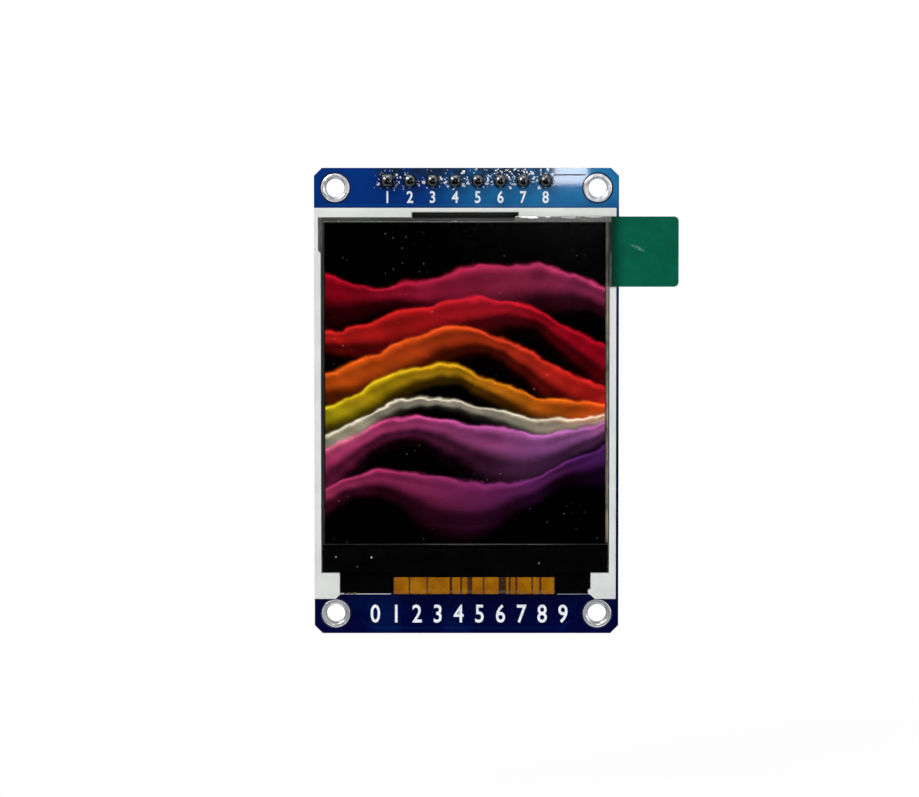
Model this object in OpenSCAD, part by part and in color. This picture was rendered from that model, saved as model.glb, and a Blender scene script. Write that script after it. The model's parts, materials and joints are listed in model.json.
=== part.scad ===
// TFT display module: an LCD panel taped on a printed board with a soldered pin header.
// Millimetres. X is to the right and Z up as the screen is read, and the screen faces -Y.
// The origin is the centre of the four mounting holes on the board's rear face.

/* [Board] */
// Thickness of the board
board_t = 1.6; // [1:0.1:2.4]
// Width of the board on each side of the panel
board_margin = 0.25; // [0.2:0.05:3]
// Height of the board above the panel
strip_top = 4.5; // [4:0.1:8]
// Height of the board below the panel
strip_bottom = 4.15; // [3.7:0.05:8]
// Leg of the chamfer on each corner
corner_cut = 0.9; // [0.3:0.1:1.4]
// Distance of the mounting holes from the board's sides
hole_inset_w = 2.4; // [2.1:0.05:2.7]
// Distance of the mounting holes from the board's top and bottom edges
hole_inset_h = 2.25; // [2:0.05:2.4]
// Bore of each mounting hole
hole_d = 2.1; // [1.6:0.1:2.3]
// Outer diameter of the tinned ring round each mounting hole
ring_d = 3.2; // [2.8:0.1:3.4]
// Height of the tinned ring above the board's faces
ring_t = 0.1; // [0.05:0.05:0.2]
// Thickness of the plating in a mounting hole
plating_t = 0.05; // [0.03:0.01:0.1]

/* [Pin header] */
// Number of pins
pin_count = 8; // [4:1:9]
// Distance between pins
pin_pitch = 2.54; // [2.3:0.02:2.6]
// Width of a square pin
pin_w = 0.64; // [0.5:0.02:0.68]
// Width of a pin at its pointed ends
pin_tip_w = 0.3; // [0.2:0.05:0.4]
// Length of a pin's pointed end
pin_taper = 0.5; // [0.3:0.1:0.8]
// Length of a pin behind its plastic body
pin_tail = 6; // [4:0.5:12]
// How far a pin stands out of the board's front face
pin_front = 1.3; // [1.1:0.1:1.6]
// Depth of the plastic body
header_depth = 2.54; // [2:0.1:3]
// Height of the plastic body
header_h = 2.48; // [2.2:0.02:2.6]
// Leg of the notches between the ways of the plastic body
header_notch = 0.4; // [0.2:0.1:0.6]
// Distance of the pin row from the board's top edge
header_inset = 1.5; // [1.3:0.05:1.8]
// Diameter of a pin hole
pin_hole_d = 1.02; // [1:0.02:1.1]
// Diameter of a solder pad
pad_d = 1.68; // [1.5:0.02:1.9]
// Diameter of the solder round a pin's end
solder_tip_d = 1; // [0.98:0.02:1.1]
// Height of the solder over a pin's end
solder_cover = 0.2; // [0.15:0.01:0.3]
// Thickness of the square pad of the first pin
pad_t = 0.06; // [0.04:0.01:0.1]

/* [Display panel] */
// Sideways place of the panel on the board
panel_x = -0.15; // [-0.2:0.05:0.2]
// Thickness of the frame's side walls
wall_side = 0.75; // [0.6:0.05:0.9]
// Thickness of the frame's top bar
wall_top = 1.05; // [0.9:0.05:1.2]
// Width of the ledge that carries the glass
ledge_w = 0.7; // [0.5:0.05:1]
// Width of the notch in the top bar
notch_w = 12; // [8:0.5:16]
// Height of the notch in the top bar
notch_h = 0.62; // [0.4:0.02:0.7]
// Depth of the relief at the upper end of each side wall
relief_w = 0.3; // [0.2:0.05:0.4]
// Length of the relief at the upper end of each side wall
relief_len = 3.7; // [2:0.1:6]
// Width of a foot of the frame
foot_w = 2.8; // [2.2:0.1:3.2]
// Height of a foot of the frame
foot_h = 2.9; // [2.7:0.1:3.1]
// Chamfer on the lower inner corner of a foot
foot_cut = 0.45; // [0.2:0.05:0.7]
// Height of the frame's lower bar above the feet's ends
bar_rise = 0.38; // [0.3:0.02:0.6]
// Radius of the rounded nub on the right foot
nub_r = 0.3; // [0.2:0.05:0.4]

/* [Glass and films] */
// Gap between the glass and the frame
glass_gap = 0.1; // [0.05:0.05:0.15]
// Thickness of each glass plate
glass_t = 0.5; // [0.4:0.02:0.52]
// Height of the ledge of the lower glass below the upper glass
glass_ledge_h = 3.1; // [2.8:0.1:3.4]
// Width of the front polariser
polariser_w = 31.4; // [30:0.1:31.8]
// Height of the front polariser
polariser_h = 35.9; // [34:0.1:36.2]
// Height of the glass left bare above the polariser
glass_bare_top = 0.55; // [0.3:0.05:0.8]
// Width of the glass left bare beside the polariser
glass_bare_side = 0.35; // [0.25:0.05:0.4]
// Height of the upper glass left bare below the polariser
glass_bare_bottom = 0.15; // [0.1:0.05:0.3]
// How far the frame's walls stand in front of the glass
frame_lip = 0.1; // [0.05:0.01:0.14]
// Thickness of the front polariser
front_polariser_t = 0.15; // [0.1:0.01:0.2]
// Thickness of the rear polariser
rear_polariser_t = 0.12; // [0.1:0.01:0.16]
// Thickness of the rim tape
rim_tape_t = 0.06; // [0.04:0.01:0.1]
// Width of the rim tape beside and above the picture
rim_tape_w = 1.5; // [1.2:0.1:2]
// Height of the rim tape below the picture
rim_tape_low = 3.7; // [3:0.1:4]
// Thickness of the reflector sheet
reflector_t = 0.08; // [0.06:0.01:0.1]
// Thickness of the light guide
guide_t = 0.6; // [0.5:0.01:0.6]
// Thickness of each optical film
film_t = 0.08; // [0.06:0.01:0.08]
// Gap between the optical parts and the tray's walls
film_gap = 0.1; // [0.05:0.05:0.2]
// Height of the bay for the lamps below the light guide
led_bay_h = 1.5; // [1.2:0.1:1.7]
// Number of lamps
led_count = 4; // [2:1:6]
// Overlap of the lamps' strip on the light guide
led_lap = 0.5; // [0.3:0.05:0.8]
// Length of a lamp
led_w = 3; // [2:0.1:3.8]
// Height of a lamp
led_h = 0.9; // [0.6:0.1:1]
// Thickness of the strip that carries the lamps
led_flex_t = 0.12; // [0.1:0.01:0.14]
// Thickness of the protective film
cover_film_t = 0.05; // [0.04:0.01:0.1]
// Overlap of the protective film round the polariser
cover_film_rim = 0.22; // [0.1:0.02:0.3]
// Width of the pull tab
tab_w = 7.5; // [5:0.1:9]
// Height of the pull tab
tab_h = 7.85; // [5:0.05:10]
// Thickness of the pull tab
tab_t = 0.1; // [0.06:0.01:0.15]
// Radius of the pull tab's outer corners
tab_r = 0.55; // [0.2:0.05:1.5]
// How far the pull tab reaches over the frame's side wall
tab_inset = 0.55; // [0.3:0.05:0.65]
// Width of the film under the pull tab
tab_lap = 0.7; // [0.5:0.1:1]
// Height of the pull tab's upper edge below the frame's top
tab_drop = 0.95; // [0.7:0.05:2]

/* [Driver and flex] */
// Length of the driver chip
chip_w = 12; // [8:0.5:16]
// Height of the driver chip
chip_h = 0.8; // [0.6:0.05:1]
// Thickness of the driver chip
chip_t = 0.28; // [0.2:0.02:0.34]
// Thickness of the driver's cover tape
cover_tape_t = 0.06; // [0.04:0.01:0.1]
// How far the cover tape's tongue hangs below the glass
tongue_h = 0.6; // [0.3:0.05:0.8]
// Width of the flex tail
flex_w = 18.2; // [14:0.1:20]
// Sideways place of the flex tail's centre from the panel's centre
flex_x = 1; // [0:0.1:1.5]
// Thickness of the flex tail
flex_t = 0.1; // [0.08:0.01:0.12]
// Height of the flex tail's bond on the glass
bond_h = 0.9; // [0.6:0.05:1]
// Distance of the flex tail's fold above the feet's ends
fold_rise = 0.4; // [0.3:0.02:0.6]
// Length of the flex tail behind the panel
flex_back = 8; // [5:0.5:12]
// Gap between the flex tail and the sides of its recess in the frame
flex_side_gap = 0.25; // [0.1:0.05:0.4]
// Gap between the flex tail's fold and the frame
fold_gap = 0.05; // [0.03:0.01:0.1]
// Number of solder joints at the flex tail's end
finger_count = 14; // [8:1:16]
// Thickness of the solder on the flex tail's end
bead_t = 0.1; // [0.05:0.01:0.15]
// Reach of that solder on the board
bead_run = 0.45; // [0.2:0.05:0.8]
// Reach of that solder on the flex tail
bead_lap = 0.8; // [0.4:0.1:1.2]
// Thickness of the tape between the board and the panel
mount_tape_t = 0.3; // [0.28:0.01:0.4]
// Width of each strip of that tape
mount_tape_w = 4; // [3:0.1:5]
// Distance of that tape from the frame's edges
mount_tape_inset = 0.8; // [0.4:0.1:1.5]

/* [Rear components] */
// Length of a SOT-23 case
sot_w = 2.9; // [2.7:0.05:3.1]
// Height of a SOT-23 case
sot_h = 1.3; // [1.2:0.05:1.4]
// Depth of a SOT-23 case
sot_d = 1.0; // [0.9:0.05:1.1]
// Width over the leads of a SOT-23 case
sot_span = 2.4; // [2.2:0.05:2.6]
// Distance between neighbouring leads
sot_pitch = 0.95; // [0.9:0.01:1]
// Width of a lead
lead_w = 0.42; // [0.3:0.02:0.5]
// Thickness of a lead
lead_t = 0.13; // [0.1:0.01:0.16]
// Length of a chip capacitor or resistor
chip_part_w = 1.6; // [1.4:0.05:1.8]
// Height of a chip capacitor or resistor
chip_part_h = 0.8; // [0.7:0.05:0.9]
// Depth of a chip capacitor
capacitor_d = 0.8; // [0.6:0.05:0.9]
// Depth of a chip resistor
resistor_d = 0.45; // [0.35:0.05:0.55]
// Length of the metal end of a chip part
metal_end = 0.32; // [0.2:0.02:0.5]
// Reach of the solder wedge beyond a chip part
solder_wedge = 0.25; // [0.1:0.05:0.4]
// Share of a chip part's depth that the solder wedge climbs
wedge_share = 0.7; // [0.3:0.1:1]
// Draft of a moulded case's sides
sot_draft = 0.1; // [0.05:0.01:0.15]
// Gap between a moulded case and the board
sot_stand_off = 0.05; // [0.02:0.01:0.1]
// Thickness of the metal on a chip part's ends
metal_t = 0.02; // [0.01:0.01:0.05]
// Distance of the row of rear components below the pin row
rear_drop = 8.25; // [5:0.25:20]
// Distance of each SOT-23 case from the board's middle line
sot_x = 7; // [6.5:0.5:9]
// Gap between a SOT-23 case and the chip parts beside it
part_gap = 0.9; // [0.7:0.1:1.2]
// Distance between chip parts above each other
row_pitch = 2; // [1.6:0.1:3]

/* [Hidden] */
$fn = 48;
function numbered(name, count) = [for (i = [1:count]) str(name, "_", i)];
NODES = concat(
    ["circuit_board", "header_housing"],
    numbered("mounting_ring", 4), numbered("header_pin", pin_count), numbered("solder_joint", pin_count),
    ["backlight_frame", "reflector_sheet", "light_guide", "led_flex"], numbered("led_lamp", led_count),
    ["diffuser_film", "lower_prism_film", "upper_prism_film", "rim_tape", "rear_polariser"],
    ["array_glass", "filter_glass", "front_polariser", "driver_chip", "driver_cover_tape"],
    ["flex_tail", "flex_solder", "mounting_tape_left", "mounting_tape_right", "protective_film", "pull_tab"],
    ["regulator_body", "regulator_leads", "transistor_body", "transistor_leads"],
    numbered("capacitor", 3), numbered("resistor", 4));
node = "all";

// Distances in front of the board's front face, from the board outwards
panel_back = mount_tape_t;
guide_back = panel_back + reflector_t;
films_back = guide_back + guide_t;
ledge_front = films_back + 3 * film_t;
tape_front = ledge_front + rim_tape_t;
array_back = tape_front + rear_polariser_t;
array_front = array_back + glass_t;
filter_front = array_front + glass_t;
frame_front = filter_front + frame_lip;
polariser_front = filter_front + front_polariser_t;
cover_film_front = polariser_front + cover_film_t;
chip_front = array_front + chip_t;
flex_front = array_front + flex_t;

// The board reaches round the panel, and its middle is the origin
glass_w = polariser_w + 2 * glass_bare_side;
recess_w = glass_w + 2 * glass_gap;
frame_w = recess_w + 2 * wall_side;
glass_h = glass_bare_top + polariser_h + glass_bare_bottom + glass_ledge_h;
frame_h = wall_top + glass_gap + glass_h + glass_gap + foot_h;
board_w = frame_w + 2 * board_margin;
board_h = strip_top + frame_h + strip_bottom;
hole_spacing_w = board_w - 2 * hole_inset_w;
hole_spacing_h = board_h - 2 * hole_inset_h;

// Heights above the origin, from the board's top edge down
header_z = board_h / 2 - header_inset;
rear_z = header_z - rear_drop;
panel_top = board_h / 2 - strip_top;
recess_top = panel_top - wall_top;
glass_top = recess_top - glass_gap;
polariser_top = glass_top - glass_bare_top;
polariser_bottom = polariser_top - polariser_h;
filter_bottom = polariser_bottom - glass_bare_bottom;
array_bottom = filter_bottom - glass_ledge_h;
foot_top = array_bottom - glass_gap;
foot_end = foot_top - foot_h;
bar_bottom = foot_end + bar_rise;
guide_top = glass_top - ledge_w;
guide_bottom = array_bottom;
bay_bottom = guide_bottom - led_bay_h;
flex_top = array_bottom + bond_h;
chip_z = (filter_bottom + flex_top) / 2;

// Widths, with the panel's middle line at zero
window_w = glass_w - 2 * ledge_w;
guide_w = window_w - 2 * film_gap;
feet_gap = frame_w - 2 * foot_w;
tab_left = frame_w / 2 - tab_inset;

// The flex tail folds from the glass's ledge back on the board's front face
fold_outer_r = flex_front / 2;
fold_inner_r = fold_outer_r - flex_t;
fold_z = foot_end + fold_rise + fold_outer_r;
bar_recess_z = fold_z - sqrt(pow(fold_inner_r - fold_gap, 2) - pow(fold_outer_r - panel_back, 2));
flex_end_z = fold_z + flex_back;

// Places of the pins, the solder and the rear components
pin_length = pin_front + board_t + header_depth + pin_tail;
pad_r = pad_d / 2;
solder_r = solder_tip_d / 2;
solder_column = pin_front + solder_cover - solder_r;
solder_fillet_r = (pow(pad_r - solder_r, 2) + pow(solder_column, 2)) / (2 * (pad_r - solder_r));
lead_plane = sot_stand_off + sot_d / 2;
beside_sot = (sot_w + chip_part_w) / 2 + part_gap;
capacitor_at = [
    [-sot_x - beside_sot, 0], [beside_sot - sot_x, row_pitch / 2], [beside_sot - sot_x, -row_pitch / 2]];
resistor_at = [for (x = [sot_x - beside_sot, sot_x + beside_sot], z = [1, -1]) [x, z * row_pitch / 2]];

function depth(d) = -board_t - d;
function pin_x(i) = (i - (pin_count + 1) / 2) * pin_pitch;
function hole_at(i) = [(i % 2 == 1 ? -1 : 1) * hole_spacing_w / 2, (i <= 2 ? 1 : -1) * hole_spacing_h / 2];

// Sheet or plate drawn as the screen is read, from a distance in front of the board towards the viewer
module front_plate(from, thickness)
    translate([0, depth(from), 0]) rotate([90, 0, 0]) linear_extrude(thickness) children();

// The same on the board's rear face, away from the viewer
module rear_plate(from, thickness)
    translate([0, from + thickness, 0]) rotate([90, 0, 0]) linear_extrude(thickness) children();

// Side section of Y and Z values, drawn out to a width across the board
module across(width) translate([-width / 2, 0, 0]) rotate([90, 0, 90]) linear_extrude(width) children();

module on_panel() translate([panel_x, 0, 0]) children();

// Rectangle from one height down to another, centred on the middle line
module band(width, top, bottom) translate([-width / 2, bottom]) square([width, top - bottom]);

// ---- Board and header ----

module board_outline() {
    w = board_w / 2;
    h = board_h / 2;
    c = corner_cut;
    polygon([
        [-w + c, -h], [w - c, -h], [w, -h + c], [w, h - c],
        [w - c, h], [-w + c, h], [-w, h - c], [-w, -h + c]]);
}

module circuit_board() color("#04205a") front_plate(-board_t, board_t) difference() {
    board_outline();
    for (i = [1:4]) translate(hole_at(i)) circle(d = hole_d + 2 * plating_t);
    for (i = [1:pin_count]) translate([pin_x(i), header_z]) circle(d = pin_hole_d);
}

// Plated barrel with a tinned land on each face, round the Z axis before it is turned
module mounting_ring(i) {
    bore_r = hole_d / 2;
    wall_r = bore_r + plating_t;
    land_r = ring_d / 2;
    top = board_t + ring_t;
    at = hole_at(i);
    color("#c9c9c4") translate([at[0], 0, at[1]]) rotate([90, 0, 0]) rotate_extrude()
        polygon([
            [bore_r, -ring_t], [land_r - ring_t, -ring_t], [land_r, 0], [wall_r, 0],
            [wall_r, board_t], [land_r, board_t], [land_r - ring_t, top], [bore_r, top]]);
}

module header_outline() {
    h = header_h / 2;
    c = header_notch;
    half = pin_pitch / 2;
    lower = [for (i = [1:pin_count])
        each [[pin_x(i) - half, c - h], [pin_x(i) - half + c, -h], [pin_x(i) + half - c, -h]]];
    upper = [for (i = [pin_count:-1:1])
        each [[pin_x(i) + half, h - c], [pin_x(i) + half - c, h], [pin_x(i) - half + c, h]]];
    polygon(concat(lower, [[pin_x(pin_count) + half, c - h]], upper, [[pin_x(1) - half, h - c]]));
}

module header_housing() color("#161616") rear_plate(0, header_depth) translate([0, header_z]) difference() {
    header_outline();
    for (i = [1:pin_count]) translate([pin_x(i), 0]) square(pin_w, center = true);
}

// Long side of a pin, with both ends drawn in to a point
module pin_side() {
    w = pin_w / 2;
    t = pin_tip_w / 2;
    polygon([
        [-t, 0], [t, 0], [w, pin_taper], [w, pin_length - pin_taper],
        [t, pin_length], [-t, pin_length], [-w, pin_length - pin_taper], [-w, pin_taper]]);
}

module header_pin(i) color("#c8a24a") translate([pin_x(i), depth(pin_front), header_z])
    intersection() {
        translate([0, 0, -pin_w]) linear_extrude(2 * pin_w) pin_side();
        rotate([0, 90, 0]) translate([0, 0, -pin_w]) linear_extrude(2 * pin_w) pin_side();
    }

// Half section of a joint: a hollow flank up from the pad and a round tip
module solder_section() {
    difference() {
        square([pad_r, solder_column]);
        translate([solder_r + solder_fillet_r, solder_column]) circle(solder_fillet_r, $fn = 128);
    }
    intersection() {
        translate([0, solder_column]) circle(solder_r);
        translate([0, solder_column]) square(solder_r);
    }
    translate([0, -board_t]) square([pin_hole_d / 2, board_t]);
}

module solder_joint(i) color("#8d8f92") difference() {
    translate([pin_x(i), -board_t, header_z]) rotate([90, 0, 0]) {
        rotate_extrude() solder_section();
        if (i == 1) translate([-pad_r, -pad_r, 0]) cube([pad_d, pad_d, pad_t]);
    }
    header_pin(i);
}

// ---- Backlight ----

module foot(side) {
    inner = feet_gap / 2;
    outer = frame_w / 2;
    polygon([
        [side * outer, foot_end], [side * (inner + foot_cut), foot_end], [side * inner, foot_end + foot_cut],
        [side * inner, foot_top], [side * outer, foot_top]]);
    if (side > 0) translate([inner, foot_end + foot_cut + nub_r]) circle(nub_r);
}

module frame_outline() {
    band(frame_w, panel_top, bar_bottom);
    foot(-1);
    foot(1);
}

// Room for the fold of the flex tail in the frame's lower bar
module flex_recess() translate([flex_x, 0]) band(flex_w + 2 * flex_side_gap, bar_recess_z, foot_end);

// The glass's recess, with its upper corners' reliefs, the top bar's notch and the bay between the feet
module recess_outline() {
    side = recess_w / 2;
    relief_z = recess_top - relief_len;
    polygon([
        [-side, foot_top], [side, foot_top], [side, relief_z - relief_w], [side + relief_w, relief_z],
        [side + relief_w, recess_top], [-side - relief_w, recess_top], [-side - relief_w, relief_z],
        [-side, relief_z - relief_w]]);
    band(notch_w, recess_top + notch_h, recess_top);
    band(feet_gap, foot_top, foot_end);
}

module backlight_frame() color("#e9ebea") on_panel() {
    front_plate(panel_back, ledge_front - panel_back) difference() {
        frame_outline();
        band(window_w, guide_top + film_gap, bay_bottom);
        flex_recess();
    }
    front_plate(ledge_front, frame_front - ledge_front) difference() {
        frame_outline();
        difference() {
            recess_outline();
            intersection() {
                foot(1);
                translate([0, foot_end]) square([frame_w, foot_top - foot_end]);
            }
        }
    }
}

module reflector_sheet() color("#f4f4f2") on_panel() front_plate(panel_back, reflector_t)
    band(guide_w, guide_top, bay_bottom + film_gap);

module light_guide() color("#dfe9ea", 0.6) on_panel() front_plate(guide_back, guide_t)
    band(guide_w, guide_top, guide_bottom);

module led_lamp(i) {
    x = (i - (led_count + 1) / 2) * guide_w / led_count;
    color("#f3efc8") on_panel() front_plate(guide_back, guide_t)
        translate([x, 0]) band(led_w, guide_bottom - film_gap, guide_bottom - film_gap - led_h);
}

module led_flex() color("#e6dfc4") on_panel() front_plate(films_back, led_flex_t)
    band(guide_w, guide_bottom + led_lap, bay_bottom + film_gap);

// One of the three optical films, counted from the light guide
module optical_film(i) on_panel() front_plate(films_back + (i - 1) * film_t, film_t)
    band(guide_w, guide_top, guide_bottom + led_lap + film_gap);

module diffuser_film() color("#f2f2ee", 0.9) optical_film(1);
module lower_prism_film() color("#dde6e6", 0.7) optical_film(2);
module upper_prism_film() color("#e4ecec", 0.7) optical_film(3);

module rim_tape() color("#101010") on_panel() front_plate(ledge_front, rim_tape_t) difference() {
    union() {
        band(recess_w - 2 * glass_gap, recess_top - glass_gap, foot_top);
        band(notch_w - 2 * glass_gap, recess_top + notch_h - glass_gap, recess_top - glass_gap);
        band(feet_gap - 2 * nub_r - 2 * glass_gap, foot_top, bar_bottom + glass_gap);
    }
    band(glass_w - 2 * rim_tape_w, glass_top - rim_tape_w, array_bottom + rim_tape_low);
    translate([0, -glass_gap]) flex_recess();
    flex_recess();
}

// ---- Glass and driver ----

module polariser_outline() band(polariser_w, polariser_top, polariser_bottom);

module rear_polariser() color("#2a2c30") on_panel()
    front_plate(tape_front, rear_polariser_t) polariser_outline();

module array_glass() color("#3c4446", 0.8) on_panel() front_plate(array_back, glass_t)
    band(glass_w, glass_top, array_bottom);

module filter_glass() color("#2c3133", 0.8) on_panel() front_plate(array_front, glass_t)
    band(glass_w, glass_top, filter_bottom);

module front_polariser() color("#0b0b0d") on_panel()
    front_plate(filter_front, front_polariser_t) polariser_outline();

module driver_chip() color("#33353a") on_panel() front_plate(array_front, chip_t)
    band(chip_w, chip_z + chip_h / 2, chip_z - chip_h / 2);

// Tape that steps up over the chip and down on the flex, as a list of distance and height
module driver_cover_tape() {
    chip_top = chip_z + chip_h / 2;
    chip_low = chip_z - chip_h / 2;
    under = [
        [array_front, filter_bottom - glass_gap], [array_front, (filter_bottom + chip_top) / 2],
        [chip_front, chip_top], [chip_front, chip_low], [flex_front, flex_top], [flex_front, array_bottom]];
    over = [for (i = [len(under) - 1:-1:0]) [under[i][0] + cover_tape_t, under[i][1]]];
    color("#0a0a0b") on_panel() {
        across(glass_w - 2 * glass_gap) polygon([for (p = concat(under, over)) [depth(p[0]), p[1]]]);
        front_plate(flex_front, cover_tape_t)
            translate([flex_x, 0]) band(flex_w, flex_top, array_bottom - tongue_h);
    }
}

// ---- Flex tail and tapes ----

module flex_section() {
    translate([depth(flex_front), fold_z]) square([flex_t, flex_top - fold_z]);
    translate([depth(flex_t), fold_z]) square([flex_t, flex_back]);
    intersection() {
        translate([depth(fold_outer_r), fold_z]) difference() {
            circle(fold_outer_r, $fn = 96);
            circle(fold_inner_r, $fn = 96);
        }
        translate([depth(flex_front), fold_z - fold_outer_r]) square([flex_front, fold_outer_r]);
    }
}

module flex_tail() color("#a06a10") on_panel() translate([flex_x, 0, 0]) across(flex_w) flex_section();

// Solder that runs from each finger of the tail over its end on the board
module flex_solder() {
    pitch = flex_w / finger_count;
    bead_w = pitch / 2;
    crest = flex_t + bead_t;
    color("#b9bbbd") on_panel() for (i = [1:finger_count])
        translate([flex_x + (i - (finger_count + 1) / 2) * pitch, 0, flex_end_z]) across(bead_w)
            polygon([
                [depth(0), 0], [depth(0), bead_run],
                [depth(crest), bead_run / 4], [depth(crest), -bead_lap / 2],
                [depth(flex_t), -bead_lap], [depth(flex_t), 0]]);
}

module mounting_tape(side) {
    x = side * (frame_w / 2 - mount_tape_inset - mount_tape_w / 2);
    color("#d8d4c6") on_panel() front_plate(0, mount_tape_t)
        translate([x, 0]) band(mount_tape_w, panel_top - mount_tape_inset, foot_top);
}

module mounting_tape_left() mounting_tape(-1);
module mounting_tape_right() mounting_tape(1);

module protective_film() color("#e8f0f2", 0.25) on_panel() front_plate(polariser_front, cover_film_t) {
    low = polariser_bottom - glass_bare_bottom / 2;
    band(polariser_w + 2 * cover_film_rim, polariser_top + cover_film_rim, low);
    translate([0, panel_top - tab_drop - tab_h]) square([tab_left + tab_lap, tab_h]);
}

// Green tab with its two outer corners rounded
module pull_tab() color("#08553f") on_panel() front_plate(cover_film_front, tab_t)
    translate([tab_left, panel_top - tab_drop - tab_h]) {
        square([tab_w - tab_r, tab_h]);
        translate([0, tab_r]) square([tab_w, tab_h - 2 * tab_r]);
        for (z = [tab_r, tab_h - tab_r]) translate([tab_w - tab_r, z]) circle(tab_r);
    }

// ---- Rear components ----

// Side of a moulded case: drafted both ways from its lead plane
module case_side(half) {
    top = sot_stand_off + sot_d;
    drafted = half - sot_draft;
    polygon([
        [sot_stand_off, -drafted], [lead_plane, -half], [top, -drafted],
        [top, drafted], [lead_plane, half], [sot_stand_off, drafted]]);
}

module sot_case(x) color("#1b1b1c") translate([x, 0, rear_z]) intersection() {
    across(2 * sot_w) case_side(sot_h / 2);
    rotate([0, 90, 0]) across(2 * sot_w) case_side(sot_w / 2);
}

// Gull-wing lead from the case down to the board, in Y and Z
module lead_section() {
    edge = sot_h / 2;
    knee = edge + lead_t;
    high = lead_plane + lead_t / 2;
    low = lead_plane - lead_t / 2;
    polygon([
        [lead_plane, edge], [high, edge], [high, knee + lead_t], [lead_t, knee + lead_t],
        [lead_t, sot_span / 2], [0, sot_span / 2], [0, knee], [low, knee], [low, edge]]);
}

module sot_leads(x) color("#b9bbbd") translate([x, 0, rear_z]) {
    across(lead_w) lead_section();
    for (side = [-1, 1]) translate([side * sot_pitch, 0, 0]) mirror([0, 0, 1]) across(lead_w) lead_section();
}

module regulator_body() sot_case(-sot_x);
module regulator_leads() sot_leads(-sot_x);
module transistor_body() sot_case(sot_x);
module transistor_leads() sot_leads(sot_x);

// Two-ended chip part on its solder wedges
module chip_part(at, thickness) {
    end_h = chip_part_h + 2 * metal_t;
    translate([at[0], 0, rear_z + at[1]]) {
        translate([-chip_part_w / 2, metal_t, -chip_part_h / 2])
            cube([chip_part_w, thickness - 2 * metal_t, chip_part_h]);
        for (side = [-1, 1]) translate([0, 0, -end_h / 2]) linear_extrude(end_h)
            polygon([
                [side * (chip_part_w / 2 - metal_end), 0], [side * (chip_part_w / 2 + solder_wedge), 0],
                [side * chip_part_w / 2, wedge_share * thickness], [side * chip_part_w / 2, thickness],
                [side * (chip_part_w / 2 - metal_end), thickness]]);
    }
}

module capacitor(i) color("#a98c64") chip_part(capacitor_at[i - 1], capacitor_d);
module resistor(i) color("#2b2c2e") chip_part(resistor_at[i - 1], resistor_d);

// ---- Nodes ----

function wanted(name) = node == "all" || node == name;

if (wanted("circuit_board")) circuit_board();
if (wanted("header_housing")) header_housing();
for (i = [1:4]) if (wanted(str("mounting_ring_", i))) mounting_ring(i);
for (i = [1:pin_count]) if (wanted(str("header_pin_", i))) header_pin(i);
for (i = [1:pin_count]) if (wanted(str("solder_joint_", i))) solder_joint(i);
if (wanted("backlight_frame")) backlight_frame();
if (wanted("reflector_sheet")) reflector_sheet();
if (wanted("light_guide")) light_guide();
if (wanted("led_flex")) led_flex();
for (i = [1:led_count]) if (wanted(str("led_lamp_", i))) led_lamp(i);
if (wanted("diffuser_film")) diffuser_film();
if (wanted("lower_prism_film")) lower_prism_film();
if (wanted("upper_prism_film")) upper_prism_film();
if (wanted("rim_tape")) rim_tape();
if (wanted("rear_polariser")) rear_polariser();
if (wanted("array_glass")) array_glass();
if (wanted("filter_glass")) filter_glass();
if (wanted("front_polariser")) front_polariser();
if (wanted("driver_chip")) driver_chip();
if (wanted("driver_cover_tape")) driver_cover_tape();
if (wanted("flex_tail")) flex_tail();
if (wanted("flex_solder")) flex_solder();
if (wanted("mounting_tape_left")) mounting_tape_left();
if (wanted("mounting_tape_right")) mounting_tape_right();
if (wanted("protective_film")) protective_film();
if (wanted("pull_tab")) pull_tab();
if (wanted("regulator_body")) regulator_body();
if (wanted("regulator_leads")) regulator_leads();
if (wanted("transistor_body")) transistor_body();
if (wanted("transistor_leads")) transistor_leads();
for (i = [1:3]) if (wanted(str("capacitor_", i))) capacitor(i);
for (i = [1:4]) if (wanted(str("resistor_", i))) resistor(i);
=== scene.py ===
"""Looks of a small colour display module: a lit panel in a white tray on a blue printed board."""

from __future__ import annotations

import json
import logging
import math
import random
from collections.abc import Iterable, Sequence
from dataclasses import dataclass, field
from enum import Enum

import bmesh
import bpy
from mathutils import Matrix, Vector, noise

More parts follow.
